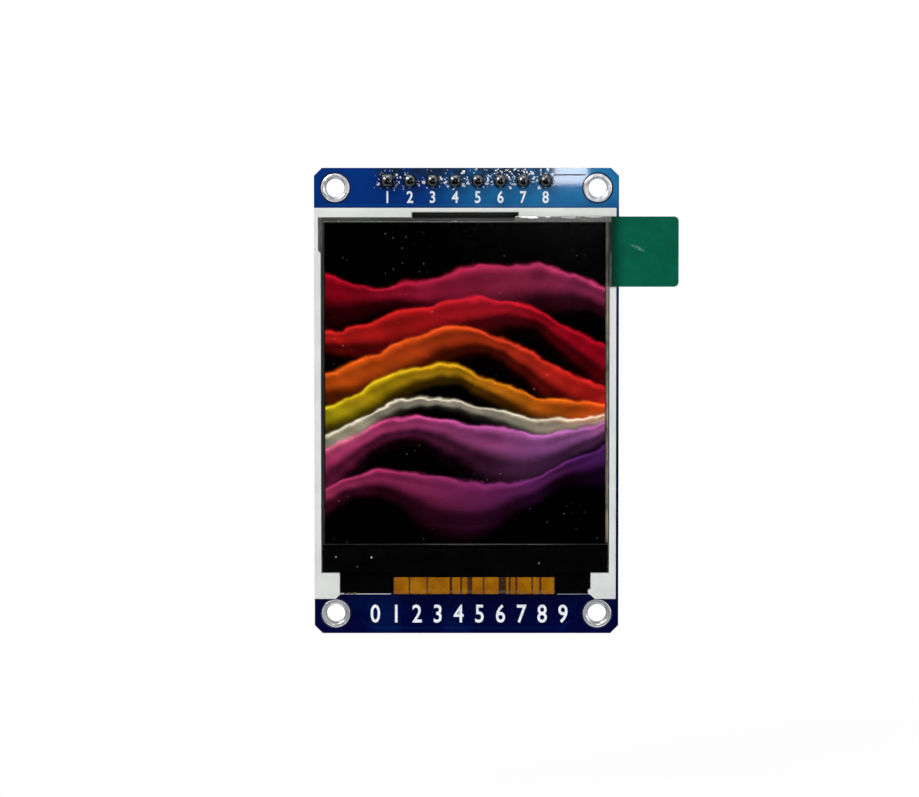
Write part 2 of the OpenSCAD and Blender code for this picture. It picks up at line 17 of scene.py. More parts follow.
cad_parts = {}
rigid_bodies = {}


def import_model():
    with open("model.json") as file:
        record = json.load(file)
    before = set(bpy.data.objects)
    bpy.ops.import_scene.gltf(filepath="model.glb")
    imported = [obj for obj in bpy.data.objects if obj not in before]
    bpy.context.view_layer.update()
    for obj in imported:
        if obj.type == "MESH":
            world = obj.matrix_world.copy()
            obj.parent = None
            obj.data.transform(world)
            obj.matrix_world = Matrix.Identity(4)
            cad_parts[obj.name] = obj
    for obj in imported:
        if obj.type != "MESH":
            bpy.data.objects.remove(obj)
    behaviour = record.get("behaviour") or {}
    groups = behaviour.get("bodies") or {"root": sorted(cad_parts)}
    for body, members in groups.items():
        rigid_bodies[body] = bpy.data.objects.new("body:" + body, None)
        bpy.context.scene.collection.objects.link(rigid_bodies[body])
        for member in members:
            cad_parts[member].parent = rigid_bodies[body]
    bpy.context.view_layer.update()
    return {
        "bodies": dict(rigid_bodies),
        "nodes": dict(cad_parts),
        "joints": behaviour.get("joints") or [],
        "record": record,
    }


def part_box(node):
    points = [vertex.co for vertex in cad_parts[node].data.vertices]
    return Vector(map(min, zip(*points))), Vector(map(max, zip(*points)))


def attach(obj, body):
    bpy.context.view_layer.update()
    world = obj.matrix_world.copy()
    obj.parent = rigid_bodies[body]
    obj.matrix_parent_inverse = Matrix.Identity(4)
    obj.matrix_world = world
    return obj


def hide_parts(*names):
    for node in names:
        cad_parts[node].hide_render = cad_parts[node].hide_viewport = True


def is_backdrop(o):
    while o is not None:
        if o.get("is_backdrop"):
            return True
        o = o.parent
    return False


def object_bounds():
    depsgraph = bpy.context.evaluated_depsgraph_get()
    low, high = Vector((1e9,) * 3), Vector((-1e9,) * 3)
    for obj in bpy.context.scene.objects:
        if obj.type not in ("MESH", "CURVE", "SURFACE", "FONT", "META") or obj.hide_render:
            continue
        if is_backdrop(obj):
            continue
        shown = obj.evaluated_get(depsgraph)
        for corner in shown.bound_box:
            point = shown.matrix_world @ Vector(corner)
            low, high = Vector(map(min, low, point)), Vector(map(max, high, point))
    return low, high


Pair = tuple[float, float]
Triple = tuple[float, float, float]
Colour = tuple[float, ...]
Mesh = bmesh.types.BMesh
Verts = list[bmesh.types.BMVert]

MM = 0.001
RISING: Pair = (0.0, 1.0)
FALLING: Pair = (1.0, 0.0)
NOISE_FILLS: Pair = (0.3, 0.7)
NOISE_SEED = 1
LOG = logging.getLogger("display_module")


class Face(Enum):
    """The two faces of the board, as the direction of their normal along Y."""

    FRONT = -1
    REAR = 1


class Ray(Enum):
    """Kinds of ray that see the white surroundings."""

    CAMERA = "Is Camera Ray"
    GLOSSY = "Is Glossy Ray"
    TRANSMISSION = "Is Transmission Ray"


def shown(red: int, green: int, blue: int) -> Colour:
    """The linear colour that a shader takes for a colour as a screen shows it, from 0 to 255."""
    parts = (v / 255 for v in (red, green, blue))
    return tuple(p / 12.92 if p <= 0.04045 else ((p + 0.055) / 1.055) ** 2.4 for p in parts)


def dim(colour: Colour, factor: float) -> Colour:
    """A linear colour times a factor."""
    return tuple(part * factor for part in colour)


# ---- Node trees ----


@dataclass(frozen=True)
class Wire:
    """A value in a node tree, with the sums that are done on it."""

    tree: Tree
    socket: bpy.types.NodeSocket

    def to(self, operation: str, *others: Value, clamp: bool = False) -> Wire:
        """Put the value, and further ones, through an operation of the Math node."""
        feeds = dict(enumerate((self, *others)))
        return self.tree.output("Math", "Value", feeds, operation=operation, use_clamp=clamp)

    def __add__(self, other: Value) -> Wire:
        """The sum."""
        return self.to("ADD", other)

    def __sub__(self, other: Value) -> Wire:
        """The difference."""
        return self.to("SUBTRACT", other)

    def __mul__(self, other: Value) -> Wire:
        """The product."""
        return self.to("MULTIPLY", other)

    def __truediv__(self, other: Value) -> Wire:
        """The quotient."""
        return self.to("DIVIDE", other)

    def ramp(self, factor: Value, offset: Value) -> Wire:
        """The value times a factor, plus an offset."""
        return self.to("MULTIPLY_ADD", factor, offset)

    def between(self, low: float, high: float, to: Pair = RISING) -> Wire:
        """Map the range from low to high smoothly onto another range, rising or falling."""
        feeds = {"Value": self, "From Min": low, "From Max": high, "To Min": to[0], "To Max": to[1]}
        return self.tree.output("MapRange", "Result", feeds, interpolation_type="SMOOTHSTEP")

    def spread(self, to: Pair = RISING) -> Wire:
        """Map the range that a noise mostly fills onto another range."""
        return self.between(*NOISE_FILLS, to)


Value = float | Sequence[float] | Wire
Feeds = dict[str | int, Value]


class Tree:
    """A node tree, with short calls that fill it."""

    def __init__(self, tree: bpy.types.NodeTree) -> None:
        """Keep the tree."""
        self.tree = tree

    def feed(self, socket: bpy.types.NodeSocket, value: Value) -> None:
        """Link a wire to an input, or set the input's own value.

        Args:
            socket: The input.
            value: A wire, a number, or a colour or vector.
        """
        if isinstance(value, Wire):
            self.tree.links.new(value.socket, socket)
        elif isinstance(value, (int, float)):
            socket.default_value = value
        else:
            socket.default_value = (*value, 1.0) if len(socket.default_value) == 4 else value

    def add(self, kind: str, feeds: Feeds | None = None, **settings: object) -> bpy.types.Node:
        """Add a node.

        Args:
            kind: The node's type, without the ShaderNode that every name starts with.
            feeds: What goes into its inputs, by their names or numbers.
            **settings: Its properties by name.

        Returns:
            The new node.
        """
        node = self.tree.nodes.new(f"ShaderNode{kind}")
        for key, setting in settings.items():
            setattr(node, key, setting)
        for key, value in (feeds or {}).items():
            self.feed(node.inputs[key], value)
        return node

    def output(self, kind: str, name: str | int, feeds: Feeds | None = None, **settings: object) -> Wire:
        """Add a node as add() does, and take the output of that name."""
        return Wire(self, self.add(kind, feeds, **settings).outputs[name])


class Bench(Tree):
    """A material's node tree round one Principled shader."""

    def __init__(self, name: str) -> None:
        """Start the material.

        Args:
            name: Its name.
        """
        self.material = bpy.data.materials.new(name)
        self.material.use_nodes = True
        super().__init__(self.material.node_tree)
        self.tree.nodes.clear()
        self.out = self.add("OutputMaterial")
        self.shader = self.add("BsdfPrincipled")
        self.coordinates = self.add("TexCoord")
        self.surface(Wire(self, self.shader.outputs["BSDF"]))

    def surface(self, shader: Wire) -> None:
        """Show a shader on the material's surface."""
        self.feed(self.out.inputs["Surface"], shader)

    def set(self, **inputs: Value) -> None:
        """Feed inputs of the Principled shader, with underscores for the spaces in their names."""
        for key, value in inputs.items():
            self.feed(self.shader.inputs[key.replace("_", " ")], value)

    def own(self, name: str) -> Wire:
        """The surface's own coordinates of that name, such as Object or Normal."""
        return Wire(self, self.coordinates.outputs[name])

    def place(self, stretch: Triple = (1, 1, 1)) -> Wire:
        """Object coordinates in millimetres, stretched along each axis."""
        feeds = {"Vector": self.own("Object"), "Scale": [s / MM for s in stretch]}
        return self.output("Mapping", "Vector", feeds)

    def split(self, vector: Wire) -> list[Wire]:
        """The three parts of a vector."""
        return [Wire(self, part) for part in self.add("SeparateXYZ", {"Vector": vector}).outputs]

    def noise(self, scale: float, detail: float = 3, rough: float = 0.5, place: Wire | None = None) -> Wire:
        """Noise from 0 to 1, with the scale in features per millimetre and the detail in octaves."""
        feeds = {"Vector": place or self.place(), "Scale": scale, "Detail": detail, "Roughness": rough}
        return self.output("TexNoise", "Fac", feeds)

    def mix(self, share: Value, first: Value, second: Value) -> Wire:
        """Mix two colours by the share of the second one."""
        return self.output("Mix", 2, {0: share, 6: first, 7: second}, data_type="RGBA")

    def plus(self, first: Value, second: Value) -> Wire:
        """The sum of two colours or vectors."""
        return self.output("VectorMath", "Vector", {0: first, 1: second}, operation="ADD")

    def scaled(self, vector: Value, factor: Value) -> Wire:
        """A colour or vector times a factor."""
        return self.output("VectorMath", "Vector", {0: vector, "Scale": factor}, operation="SCALE")

    def bump(self, height: Wire, depth: float) -> None:
        """Raise the surface by a height from 0 to 1, with a relief of that many millimetres."""
        self.set(Normal=self.output("Bump", "Normal", {"Height": height, "Distance": depth * MM}))


# ---- Finishes ----


@dataclass(frozen=True)
class Plastic:
    """Moulded or filmed plastic with a mottled tone, a grained skin and uneven gloss."""

    name: str
    tone: Colour
    shade: Colour
    gloss: Pair = (0.35, 0.5)
    mottle: float = 0.4
    grain: float = 6.0
    relief: float = 0.006
    coat: float = 0.0
    alpha: float = 1.0
    specular: float = 0.5

    def make(self) -> bpy.types.Material:
        """Build the material."""
        bench = Bench(self.name)
        fine = bench.noise(self.grain, 3, 0.6)
        cloud = bench.noise(self.mottle, 4, 0.6).between(0.35, 0.65)
        bench.set(
            Base_Color=bench.mix(cloud, self.tone, self.shade),
            Roughness=fine.spread(self.gloss),
            Coat_Weight=self.coat,
            Coat_Roughness=0.08,
            Alpha=self.alpha,
            Specular_IOR_Level=self.specular,
        )
        bench.bump(fine, self.relief)
        return bench.material


@dataclass(frozen=True)
class Metal:
    """Tin, solder or gold, with lumps, a duller film and a tarnish that gathers in patches."""

    name: str
    tone: Colour
    tarnish: Colour
    gloss: Pair = (0.15, 0.35)
    lumps: float = 2.0
    relief: float = 0.03
    patches: Pair = (0.55, 0.75)
    stretch: Triple = (1, 1, 1)
    metallic: float = 1.0
    bore: Pair | None = None
    bore_fade: float = 0.05
    bore_level: float = 0.12

    def make(self) -> bpy.types.Material:
        """Build the material, with painted shade between the two Y values of a plated bore where there is
        one.
        """
        bench = Bench(self.name)
        place = bench.place(self.stretch)
        film = bench.noise(self.lumps * 3, 4, 0.65, place)
        colour = bench.mix(film.between(*self.patches), self.tone, self.tarnish)
        # Painted shade: the plated bore's wall is darkened inside the board, where shade falls in the hole.
        if self.bore:
            _, depth, _ = bench.split(bench.place())
            front, rear = self.bore
            inside = depth.between(front, front + self.bore_fade)
            inside *= depth.between(rear - self.bore_fade, rear, FALLING)
            colour = bench.mix(inside, colour, dim(self.tarnish, self.bore_level))
        bench.set(Base_Color=colour, Metallic=self.metallic, Roughness=film.spread(self.gloss))
        bench.bump(bench.noise(self.lumps, 3, 0.5, place), self.relief)
        return bench.material


@dataclass(frozen=True)
class SolderMask:
    """Glossy blue mask on the board's faces, with the laminate bare on its cut edges, and painted sheen:
    lighter towards the top and in a patch to the upper right.
    """

    name: str
    low: Colour
    high: Colour
    open_mask: Colour
    laminate: Colour
    faces: Pair
    heights: Pair
    stain: Colour
    stain_x: float
    stain_z: Pair
    opening: Pair = (-7.0, 6.0)
    weave: float = 0.7

    def stained(self, bench: Bench, side: Wire, height: Wire) -> Wire:
        """Share of the dark, blotched varnish that the soldering left above the pins.

        Args:
            bench: The material's bench.
            side: The X coordinate in millimetres.
            height: The Z coordinate.

        Returns:
            The share, from 0 to 1.
        """
        along = side.to("ABSOLUTE").between(self.stain_x - 2, self.stain_x, FALLING)
        blotch = bench.noise(0.9, 3, 0.6).between(0.35, 0.6, (0.25, 1.0))
        return along * height.between(*self.stain_z) * blotch

    def threads(self, bench: Bench, direction: str) -> Wire:
        """The glass cloth's threads along one direction."""
        feeds = {"Vector": bench.place(), "Scale": self.weave}
        return bench.output("TexWave", "Fac", feeds, wave_type="BANDS", bands_direction=direction)

    def make(self) -> bpy.types.Material:
        """Build the material."""
        bench = Bench(self.name)
        side, depth, height = bench.split(bench.place())
        cloud = bench.noise(0.16, 3, 0.5)
        # Painted sheen: the mask's colour rises from low to high towards the top, with a random cloud in it.
        rise = height.between(*self.heights).to("ADD", cloud.spread((-0.15, 0.15)), clamp=True)
        top = self.heights[1]
        # Painted sheen: a lighter patch to the upper right, where the glossy mask would reflect the light.
        clear = side.between(*self.opening) * height.between(top, top + 4)
        clear *= cloud.between(0.3, 0.62, (0.55, 1.0))
        blue = bench.mix(clear, bench.mix(rise, self.low, self.high), self.open_mask)
        blue = bench.mix(self.stained(bench, side, height), blue, self.stain)
        ply = bench.noise(2.5, 3, 0.7, bench.place((0.3, 9, 0.3))).between(0.35, 0.65)
        edge_tone = bench.mix(ply, self.laminate, dim(self.laminate, 0.45))
        inside = depth.to("GREATER_THAN", self.faces[0]) * depth.to("LESS_THAN", self.faces[1])
        skin = bench.noise(3.5, 2, 0.5).spread((0.22, 0.27))
        bench.set(
            Base_Color=bench.mix(inside, blue, edge_tone),
            Roughness=skin + inside * 0.4,
            Specular_IOR_Level=0.05,
            Coat_Weight=0.6,
            Coat_Roughness=0.035,
        )
        cloth = self.threads(bench, "X") * self.threads(bench, "Z")
        bench.bump(cloth * 0.05 + cloud, 0.03)
        return bench.material


@dataclass(frozen=True)
class Ribbon:
    """One silk band in the picture: its two colours, its crest's path and its fall below the crest."""

    left: Colour
    right: Colour
    height: float
    swing: float
    wave: float
    phase: float
    fall: float
    tilt: float
    strands: float
    crest: float = 0.22


@dataclass(frozen=True)
class LitPicture:
    """The picture on the lit screen: bands of coloured silk that cross on black, with fine sparks."""

    name: str
    middle: Pair
    size: Pair
    ribbons: tuple[Ribbon, ...]
    spark: Colour
    dot: float = 0.22

    def band(self, bench: Bench, ribbon: Ribbon, across: Wire, up: Wire, drift: Wire) -> Wire:
        """Colour of one band at each point of the picture.

        Args:
            bench: The material's bench.
            ribbon: The band.
            across: Distance from the picture's middle to the right, in millimetres.
            up: Distance from the middle upwards.
            drift: Fine random drift, from 0 to 1.

        Returns:
            The colour.
        """
        line = across.ramp(ribbon.wave, ribbon.phase).to("SINE").ramp(ribbon.swing, ribbon.height)
        below = across.ramp(ribbon.tilt, line) - up
        twist = across.ramp(ribbon.wave * 1.7, ribbon.phase * 2.3).to("SINE")
        soft = below.to("MAXIMUM", 0.0) / twist.ramp(ribbon.fall * 0.45, ribbon.fall)
        hard = below.to("MINIMUM", 0.0) / ribbon.crest
        body = (soft * soft * -2.0).to("EXPONENT")
        rim = (hard * hard * -1.0).to("EXPONENT")
        silk = soft.ramp(ribbon.strands, drift * 7.0).to("SINE").ramp(0.28, 0.62)
        glow = (soft * -9.0).to("EXPONENT")
        half = self.size[0] / 2
        share = drift.ramp(8.0, across).between(4 - half, 4 + half)
        return bench.scaled(bench.mix(share, ribbon.left, ribbon.right), body * rim * (silk + glow))

    def sparks(self, bench: Bench) -> Wire:
        """Fine bright specks that gather in loose drifts.

        Args:
            bench: The material's bench.

        Returns:
            Their strength.
        """
        cells = bench.add("TexVoronoi", {"Vector": bench.place((1, 0, 1)), "Scale": 2.1})
        near = Wire(bench, cells.outputs["Distance"]).between(0.05, 0.13, FALLING)
        kept = bench.split(Wire(bench, cells.outputs["Color"]))[0].between(0.55, 0.95)
        return near * kept * bench.noise(0.2, 2, 0.5).between(0.42, 0.68)

    def lit(self, bench: Bench, across: Wire, up: Wire) -> Wire:
        """Where the picture shines: 1 inside its rim on the front face, and 0 elsewhere.

        Args:
            bench: The material's bench.
            across: Distance from the picture's middle to the right, in millimetres.
            up: Distance from the middle upwards.

        Returns:
            The strength.
        """
        inside = bench.split(bench.own("Normal"))[1].to("LESS_THAN", -0.5)
        for distance, size in zip((across, up), self.size):
            inside *= distance.to("ABSOLUTE").to("LESS_THAN", size / 2)
        return inside

    def make(self) -> bpy.types.Material:
        """Build the material: black gloss that lights up on its front face."""
        bench = Bench(self.name)
        x, _, z = bench.split(bench.place())
        across, up = x - self.middle[0], z - self.middle[1]
        drift = bench.noise(0.16, 3, 0.5)
        bent = bench.noise(1.1, 4, 0.6, bench.place((0.5, 1, 1.2))).ramp(0.5, drift.ramp(3.2, up))
        total = bench.scaled(self.spark, self.sparks(bench))
        for ribbon in self.ribbons:
            total = bench.plus(total, self.band(bench, ribbon, across, bent, drift))
        row, column = ((v * (2 * math.pi / self.dot)).to("SINE") for v in (z, x))
        grid = (row * column).between(-1, 1, (0.93, 1.05))
        bench.set(
            Base_Color=(0.002, 0.002, 0.003),
            Roughness=bench.noise(0.8).spread((0.08, 0.13)),
            Specular_IOR_Level=0.25,
            Emission_Color=bench.scaled(total, self.lit(bench, across, up) * grid),
            Emission_Strength=1.0,
        )
        return bench.material


@dataclass(frozen=True)
class PullTabFilm:
    """Green film with a handling scuff and a darker strip of painted shade at its inner end."""

    name: str
    tone: Colour
    shade: Colour
    scuff: Colour
    scuff_at: Pair
    stuck_to: float
    scuff_reach: Pair = (0.75, 0.22)
    scuff_lean: float = 0.45

    def make(self) -> bpy.types.Material:
        """Build the material."""
        bench = Bench(self.name)
        x, _, z = bench.split(bench.place())
        cloud = bench.noise(0.5, 4, 0.6)
        # Painted shade: the tab darkens towards its inner end.
        painted_shade = x.between(self.stuck_to - 0.7, self.stuck_to + 0.9, (0.92, 0.0))
        green = bench.mix(cloud.spread(), self.tone, self.shade)
        green = bench.mix(painted_shade, green, dim(self.shade, 0.3))
        run, rise = x - self.scuff_at[0], z - self.scuff_at[1]
        slope = run.ramp(self.scuff_lean, rise)
        along, beside = ((v / reach).to("POWER", 2.0) for v, reach in zip((run, slope), self.scuff_reach))
        frayed = (along + beside).between(0.2, 1.6, FALLING) * bench.noise(5, 4, 0.7).between(0.42, 0.6)
        bench.set(
            Base_Color=bench.mix(frayed * 0.55, green, self.scuff),
            Roughness=cloud.spread((0.3, 0.42)),
            Specular_IOR_Level=0.03,
        )
        bench.bump(bench.noise(0.9, 2, 0.4), 0.03)
        return bench.material


@dataclass(frozen=True)
class ClearFilm:
    """Clear film: seen through, with a thin gloss, and waved where it lifts along its edge, with a grey band
    there as painted reflection.
    """

    name: str
    gloss: float
    edge: float
    haze: Colour
    haze_depth: float = 0.68
    wave: float = 0.03
    refraction: float = 1.45

    def make(self) -> bpy.types.Material:
        """Build the material."""
        bench = Bench(self.name)
        _, _, z = bench.split(bench.place())
        ripple = bench.noise(0.9, 2, 0.45, bench.place((0.5, 1, 1.6)))
        near_edge = z.between(self.edge - 1.2, self.edge, (0.12, 1.0))
        # Painted reflection: a grey band along the film's lifted edge, rippled by the same noise.
        reflection_band = z.between(self.edge - self.haze_depth, self.edge - self.haze_depth + 0.1)
        bench.set(
            Base_Color=bench.mix(reflection_band, (0.0, 0.0, 0.0), self.haze),
            Roughness=self.gloss,
            Specular_IOR_Level=1.0,
        )
        bench.bump(ripple * near_edge, self.wave)
        mirror = bench.output("Fresnel", "Fac", {"IOR": self.refraction}).ramp(1.2, 0.1)
        share = (reflection_band * ripple.spread((0.75, 1.1))).to("MULTIPLY_ADD", 0.5, mirror, clamp=True)
        clear = bench.output("BsdfTransparent", "BSDF")
        film = Wire(bench, bench.shader.outputs["BSDF"])
        bench.surface(bench.output("MixShader", "Shader", {"Fac": share, 1: clear, 2: film}))
        return bench.material


@dataclass(frozen=True)
class BrightEdge:
    """A ground or cut edge with a painted highlight along one stretch, dull elsewhere."""

    name: str
    bright: Colour
    dull: Colour
    stretch: Pair
    fade: float

    def make(self) -> bpy.types.Material:
        """Build the material."""
        bench = Bench(self.name)
        x = bench.split(bench.place())[0]
        start, end = self.stretch
        chips_and_highlight_gaps = bench.noise(1.1, 4, 0.6)
        # Painted highlight: bright along the stretch only, broken into dashes by the chips.
        lit = x.between(start - self.fade, start) * x.between(end, end + self.fade, FALLING)
        bench.set(
            Base_Color=bench.mix(lit * chips_and_highlight_gaps.between(0.3, 0.6, (0.4, 1.0)), self.dull, self.bright),
            Roughness=bench.noise(4.0).spread((0.3, 0.6)),
            Specular_IOR_Level=0.4,
        )
        bench.bump(chips_and_highlight_gaps, 0.02)
        return bench.material


Finish = Plastic | Metal | SolderMask | LitPicture | PullTabFilm | ClearFilm | BrightEdge


# ---- Mesh helpers ----


@dataclass(frozen=True)
class Span:
    """The box of a CAD node, in millimetres."""

    low: Vector
    high: Vector

    @classmethod
    def of(cls, node: str) -> Span:
        """The box of a node."""
        low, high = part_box(node)
        return cls(low / MM, high / MM)

    @property
    def middle(self) -> Vector:
        """The box's centre."""
        return (self.low + self.high) / 2

    @property
    def size(self) -> Vector:
        """The box's three sizes."""
        return self.high - self.low

    @property
    def axis(self) -> Vector:
        """The point where the line along Y through the centre has Y = 0."""
        return Vector((self.middle.x, 0, self.middle.z))


def soften(mesh: Mesh, width: float, segments: int = 2, over: float = 35.0) -> None:
    """Round the sharp edges of a bmesh.

    Args:
        mesh: The bmesh.
        width: Width of the rounding.
        segments: Its segments.
        over: Edges at more than this many degrees are rounded.
    """
    sharp = [e for e in mesh.edges if len(e.link_faces) == 2 and e.calc_face_angle(0) > math.radians(over)]
    bmesh.ops.bevel(
        mesh, geom=sharp, offset=width, offset_type="OFFSET", segments=segments, profile=0.5,
        affect="EDGES", clamp_overlap=True, material=-1,
    )


def block(mesh: Mesh, low: Sequence[float], high: Sequence[float]) -> None:
    """Add a box.

    Args:
        mesh: The bmesh.
        low: Its lowest corner.
        high: Its highest corner.
    """
    a, b = Vector(low), Vector(high)
    place = Matrix.Translation((a + b) / 2) @ Matrix.Diagonal((*(b - a), 1))
    bmesh.ops.create_cube(mesh, size=1, matrix=place)


def blob(mesh: Mesh, at: Triple, radii: Triple, detail: int = 1, turn: float = 0.0) -> Verts:
    """Add a lump of three radii, turned about Y, and give its vertices."""
    place = Matrix.Translation(at) @ Matrix.Rotation(turn, 4, "Y") @ Matrix.Diagonal((*radii, 1))
    return bmesh.ops.create_icosphere(mesh, subdivisions=detail, radius=1, matrix=place)["verts"]


def disc(mesh: Mesh, at: Sequence[float], radius: float, thickness: float, sides: int = 24) -> None:
    """Add a flat round plate that faces along Y.

    Args:
        mesh: The bmesh.
        at: Its centre.
        radius: Its radius.
        thickness: Its thickness.
        sides: Its number of sides.
    """
    place = Matrix.Translation(Vector(at)) @ Matrix.Rotation(math.pi / 2, 4, "X")
    bmesh.ops.create_cone(
        mesh, cap_ends=True, segments=sides, radius1=radius, radius2=radius, depth=thickness, matrix=place,
    )


def lathe(mesh: Mesh, section: Sequence[Pair], at: Vector, steps: int = 48) -> Verts:
    """Spin a section of (radius, Y) points round a line along Y.

    Args:
        mesh: The bmesh.
        section: The points.
        at: A point on the line, whose Y is the section's zero.
        steps: Steps of the spin.

    Returns:
        The new vertices.
    """
    before = set(mesh.verts)
    ring = [mesh.verts.new(at + Vector((radius, y, 0))) for radius, y in section]
    edges = [mesh.edges.new(pair) for pair in zip(ring, ring[1:])]
    bmesh.ops.spin(
        mesh, geom=ring + edges, cent=at, axis=(0, 1, 0), angle=2 * math.pi, steps=steps, use_merge=True,
    )
    new = [v for v in mesh.verts if v not in before]
    bmesh.ops.remove_doubles(mesh, verts=new, dist=1e-4)
    return [v for v in mesh.verts if v not in before]


def window(mesh: Mesh, low: Pair, high: Pair, line: float, depth: Pair) -> None:
    """Add a thin rectangular outline that faces along Y.

    Args:
        mesh: The bmesh.
        low: Lowest X and Z of its outside.
        high: Highest X and Z of its outside.
        line: Width of its line.
        depth: Its two Y values.
    """
    rings = []
    for y in depth:
        for inset in (0.0, line):
            x0, z0, x1, z1 = low[0] + inset, low[1] + inset, high[0] - inset, high[1] - inset
            rings.append([mesh.verts.new((x, y, z)) for x, z in ((x0, z0), (x1, z0), (x1, z1), (x0, z1))])
    outer, inner, outer_far, inner_far = rings
    for first, second in ((outer, inner), (inner, inner_far), (inner_far, outer_far), (outer_far, outer)):
        for step in range(4):
            after = (step + 1) % 4
            mesh.faces.new((first[step], first[after], second[after], second[step]))


def pushed(mesh: Mesh, grown: dict, move: Triple) -> None:
    """Move the vertices that an extrusion has just grown."""
    verts = [g for g in grown["geom"] if isinstance(g, bmesh.types.BMVert)]
    bmesh.ops.translate(mesh, verts=verts, vec=move)


def long_cuts(mesh: Mesh, cuts: int) -> None:
    """Cut a long bar across along X, so that its surface can be made uneven."""
    edges = [e for e in mesh.edges if abs((e.verts[0].co - e.verts[1].co).x) > 1]
    bmesh.ops.subdivide_edges(mesh, edges=edges, cuts=cuts, use_grid_fill=True)


def ruffle(verts: Iterable[bmesh.types.BMVert], amount: float, pitch: float, seed: float) -> None:
    """Move vertices by up to an amount along a smooth random field, which changes over the pitch."""
    for vert in verts:
        vert.co += noise.noise_vector(vert.co / pitch + Vector((seed, seed, seed))) * amount


class Workshop:
    """Turns bmeshes in millimetres into pieces of the module."""

    def __init__(self, frame: dict, swatches: dict[str, bpy.types.Material]) -> None:
        self.nodes = frame["nodes"]
        self.swatches = swatches

    def piece(
        self, name: str, mesh: Mesh, finish: str, slot: str, replaces: Sequence[str] = (),
        smooth: float = 40.0,
    ) -> None:
        """Make a piece from a bmesh.

        Args:
            name: The piece's name.
            mesh: Its shape, which is freed.
            finish: Name of its finish.
            slot: The record's material slot; not used.
            replaces: CAD nodes that it stands for.
            smooth: Edges sharper than this many degrees stay sharp.
        """
        bmesh.ops.recalc_face_normals(mesh, faces=mesh.faces)
        bmesh.ops.scale(mesh, vec=Vector((MM, MM, MM)), verts=mesh.verts)
        data = bpy.data.meshes.new(name)
        mesh.to_mesh(data)
        mesh.free()
        data.shade_smooth()
        data.set_sharp_from_angle(angle=math.radians(smooth))
        data.materials.append(self.swatches[finish])
        made = bpy.data.objects.new(name, data)
        bpy.context.scene.collection.objects.link(made)
        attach(made, "root")
        if replaces:
            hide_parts(*replaces)
        LOG.info("%s: %d faces", name, len(data.polygons))

    def copy_of(self, node: str) -> Mesh:
        """A welded copy of a CAD node's mesh, with its flat faces whole again.

        Args:
            node: The CAD node.

        Returns:
            The bmesh.
        """
        mesh = bmesh.new()
        mesh.from_mesh(self.nodes[node].data)
        bmesh.ops.scale(mesh, vec=Vector((1 / MM, 1 / MM, 1 / MM)), verts=mesh.verts)
        bmesh.ops.remove_doubles(mesh, verts=mesh.verts, dist=0.002)
        bmesh.ops.dissolve_limit(mesh, angle_limit=math.radians(1), verts=mesh.verts, edges=mesh.edges)
        return mesh

    def redraw(self, node: str, name: str, finish: str, slot: str, *rounding: float) -> None:
        """Replace a CAD node by a copy with its edges rounded.

        Args:
            node: The CAD node.
            name: The piece's name.
            finish: Name of its finish.
            slot: The record's material slot.
            *rounding: What soften() takes after the bmesh.
        """
        mesh = self.copy_of(node)
        soften(mesh, *rounding)
        self.piece(name, mesh, finish, slot, [node])

    def bars(
        self, name: str, boxes: Iterable[tuple[Sequence[float], Sequence[float]]], finish: str, slot: str,
        *rounding: float, replaces: Sequence[str] = (),
    ) -> None:
        """Make a piece of boxes with their edges rounded.

        Args:
            name: The piece's name.
            boxes: The lowest and highest corner of each.
            finish: Name of its finish.
            slot: The record's material slot.
            *rounding: What soften() takes after the bmesh.
            replaces: CAD nodes that it stands for.
        """
        mesh = bmesh.new()
        for low, high in boxes:
            block(mesh, low, high)
        soften(mesh, *rounding)
        self.piece(name, mesh, finish, slot, replaces)

    def dress(self, finish: str, *nodes: str) -> None:
        """Give CAD nodes that stay as they are a finish.

        Args:
            finish: Name of the finish.
            *nodes: The nodes.
        """
        for node in nodes:
            data = self.nodes[node].data
            data.materials.clear()
            data.materials.append(self.swatches[finish])
            LOG.info("%s: finish %s", node, finish)


def pin_at(number: int) -> Vector:
    """The centre of a pin of the header, in millimetres."""
    return Span.of(f"header_pin_{number}").middle


# ---- Board ----


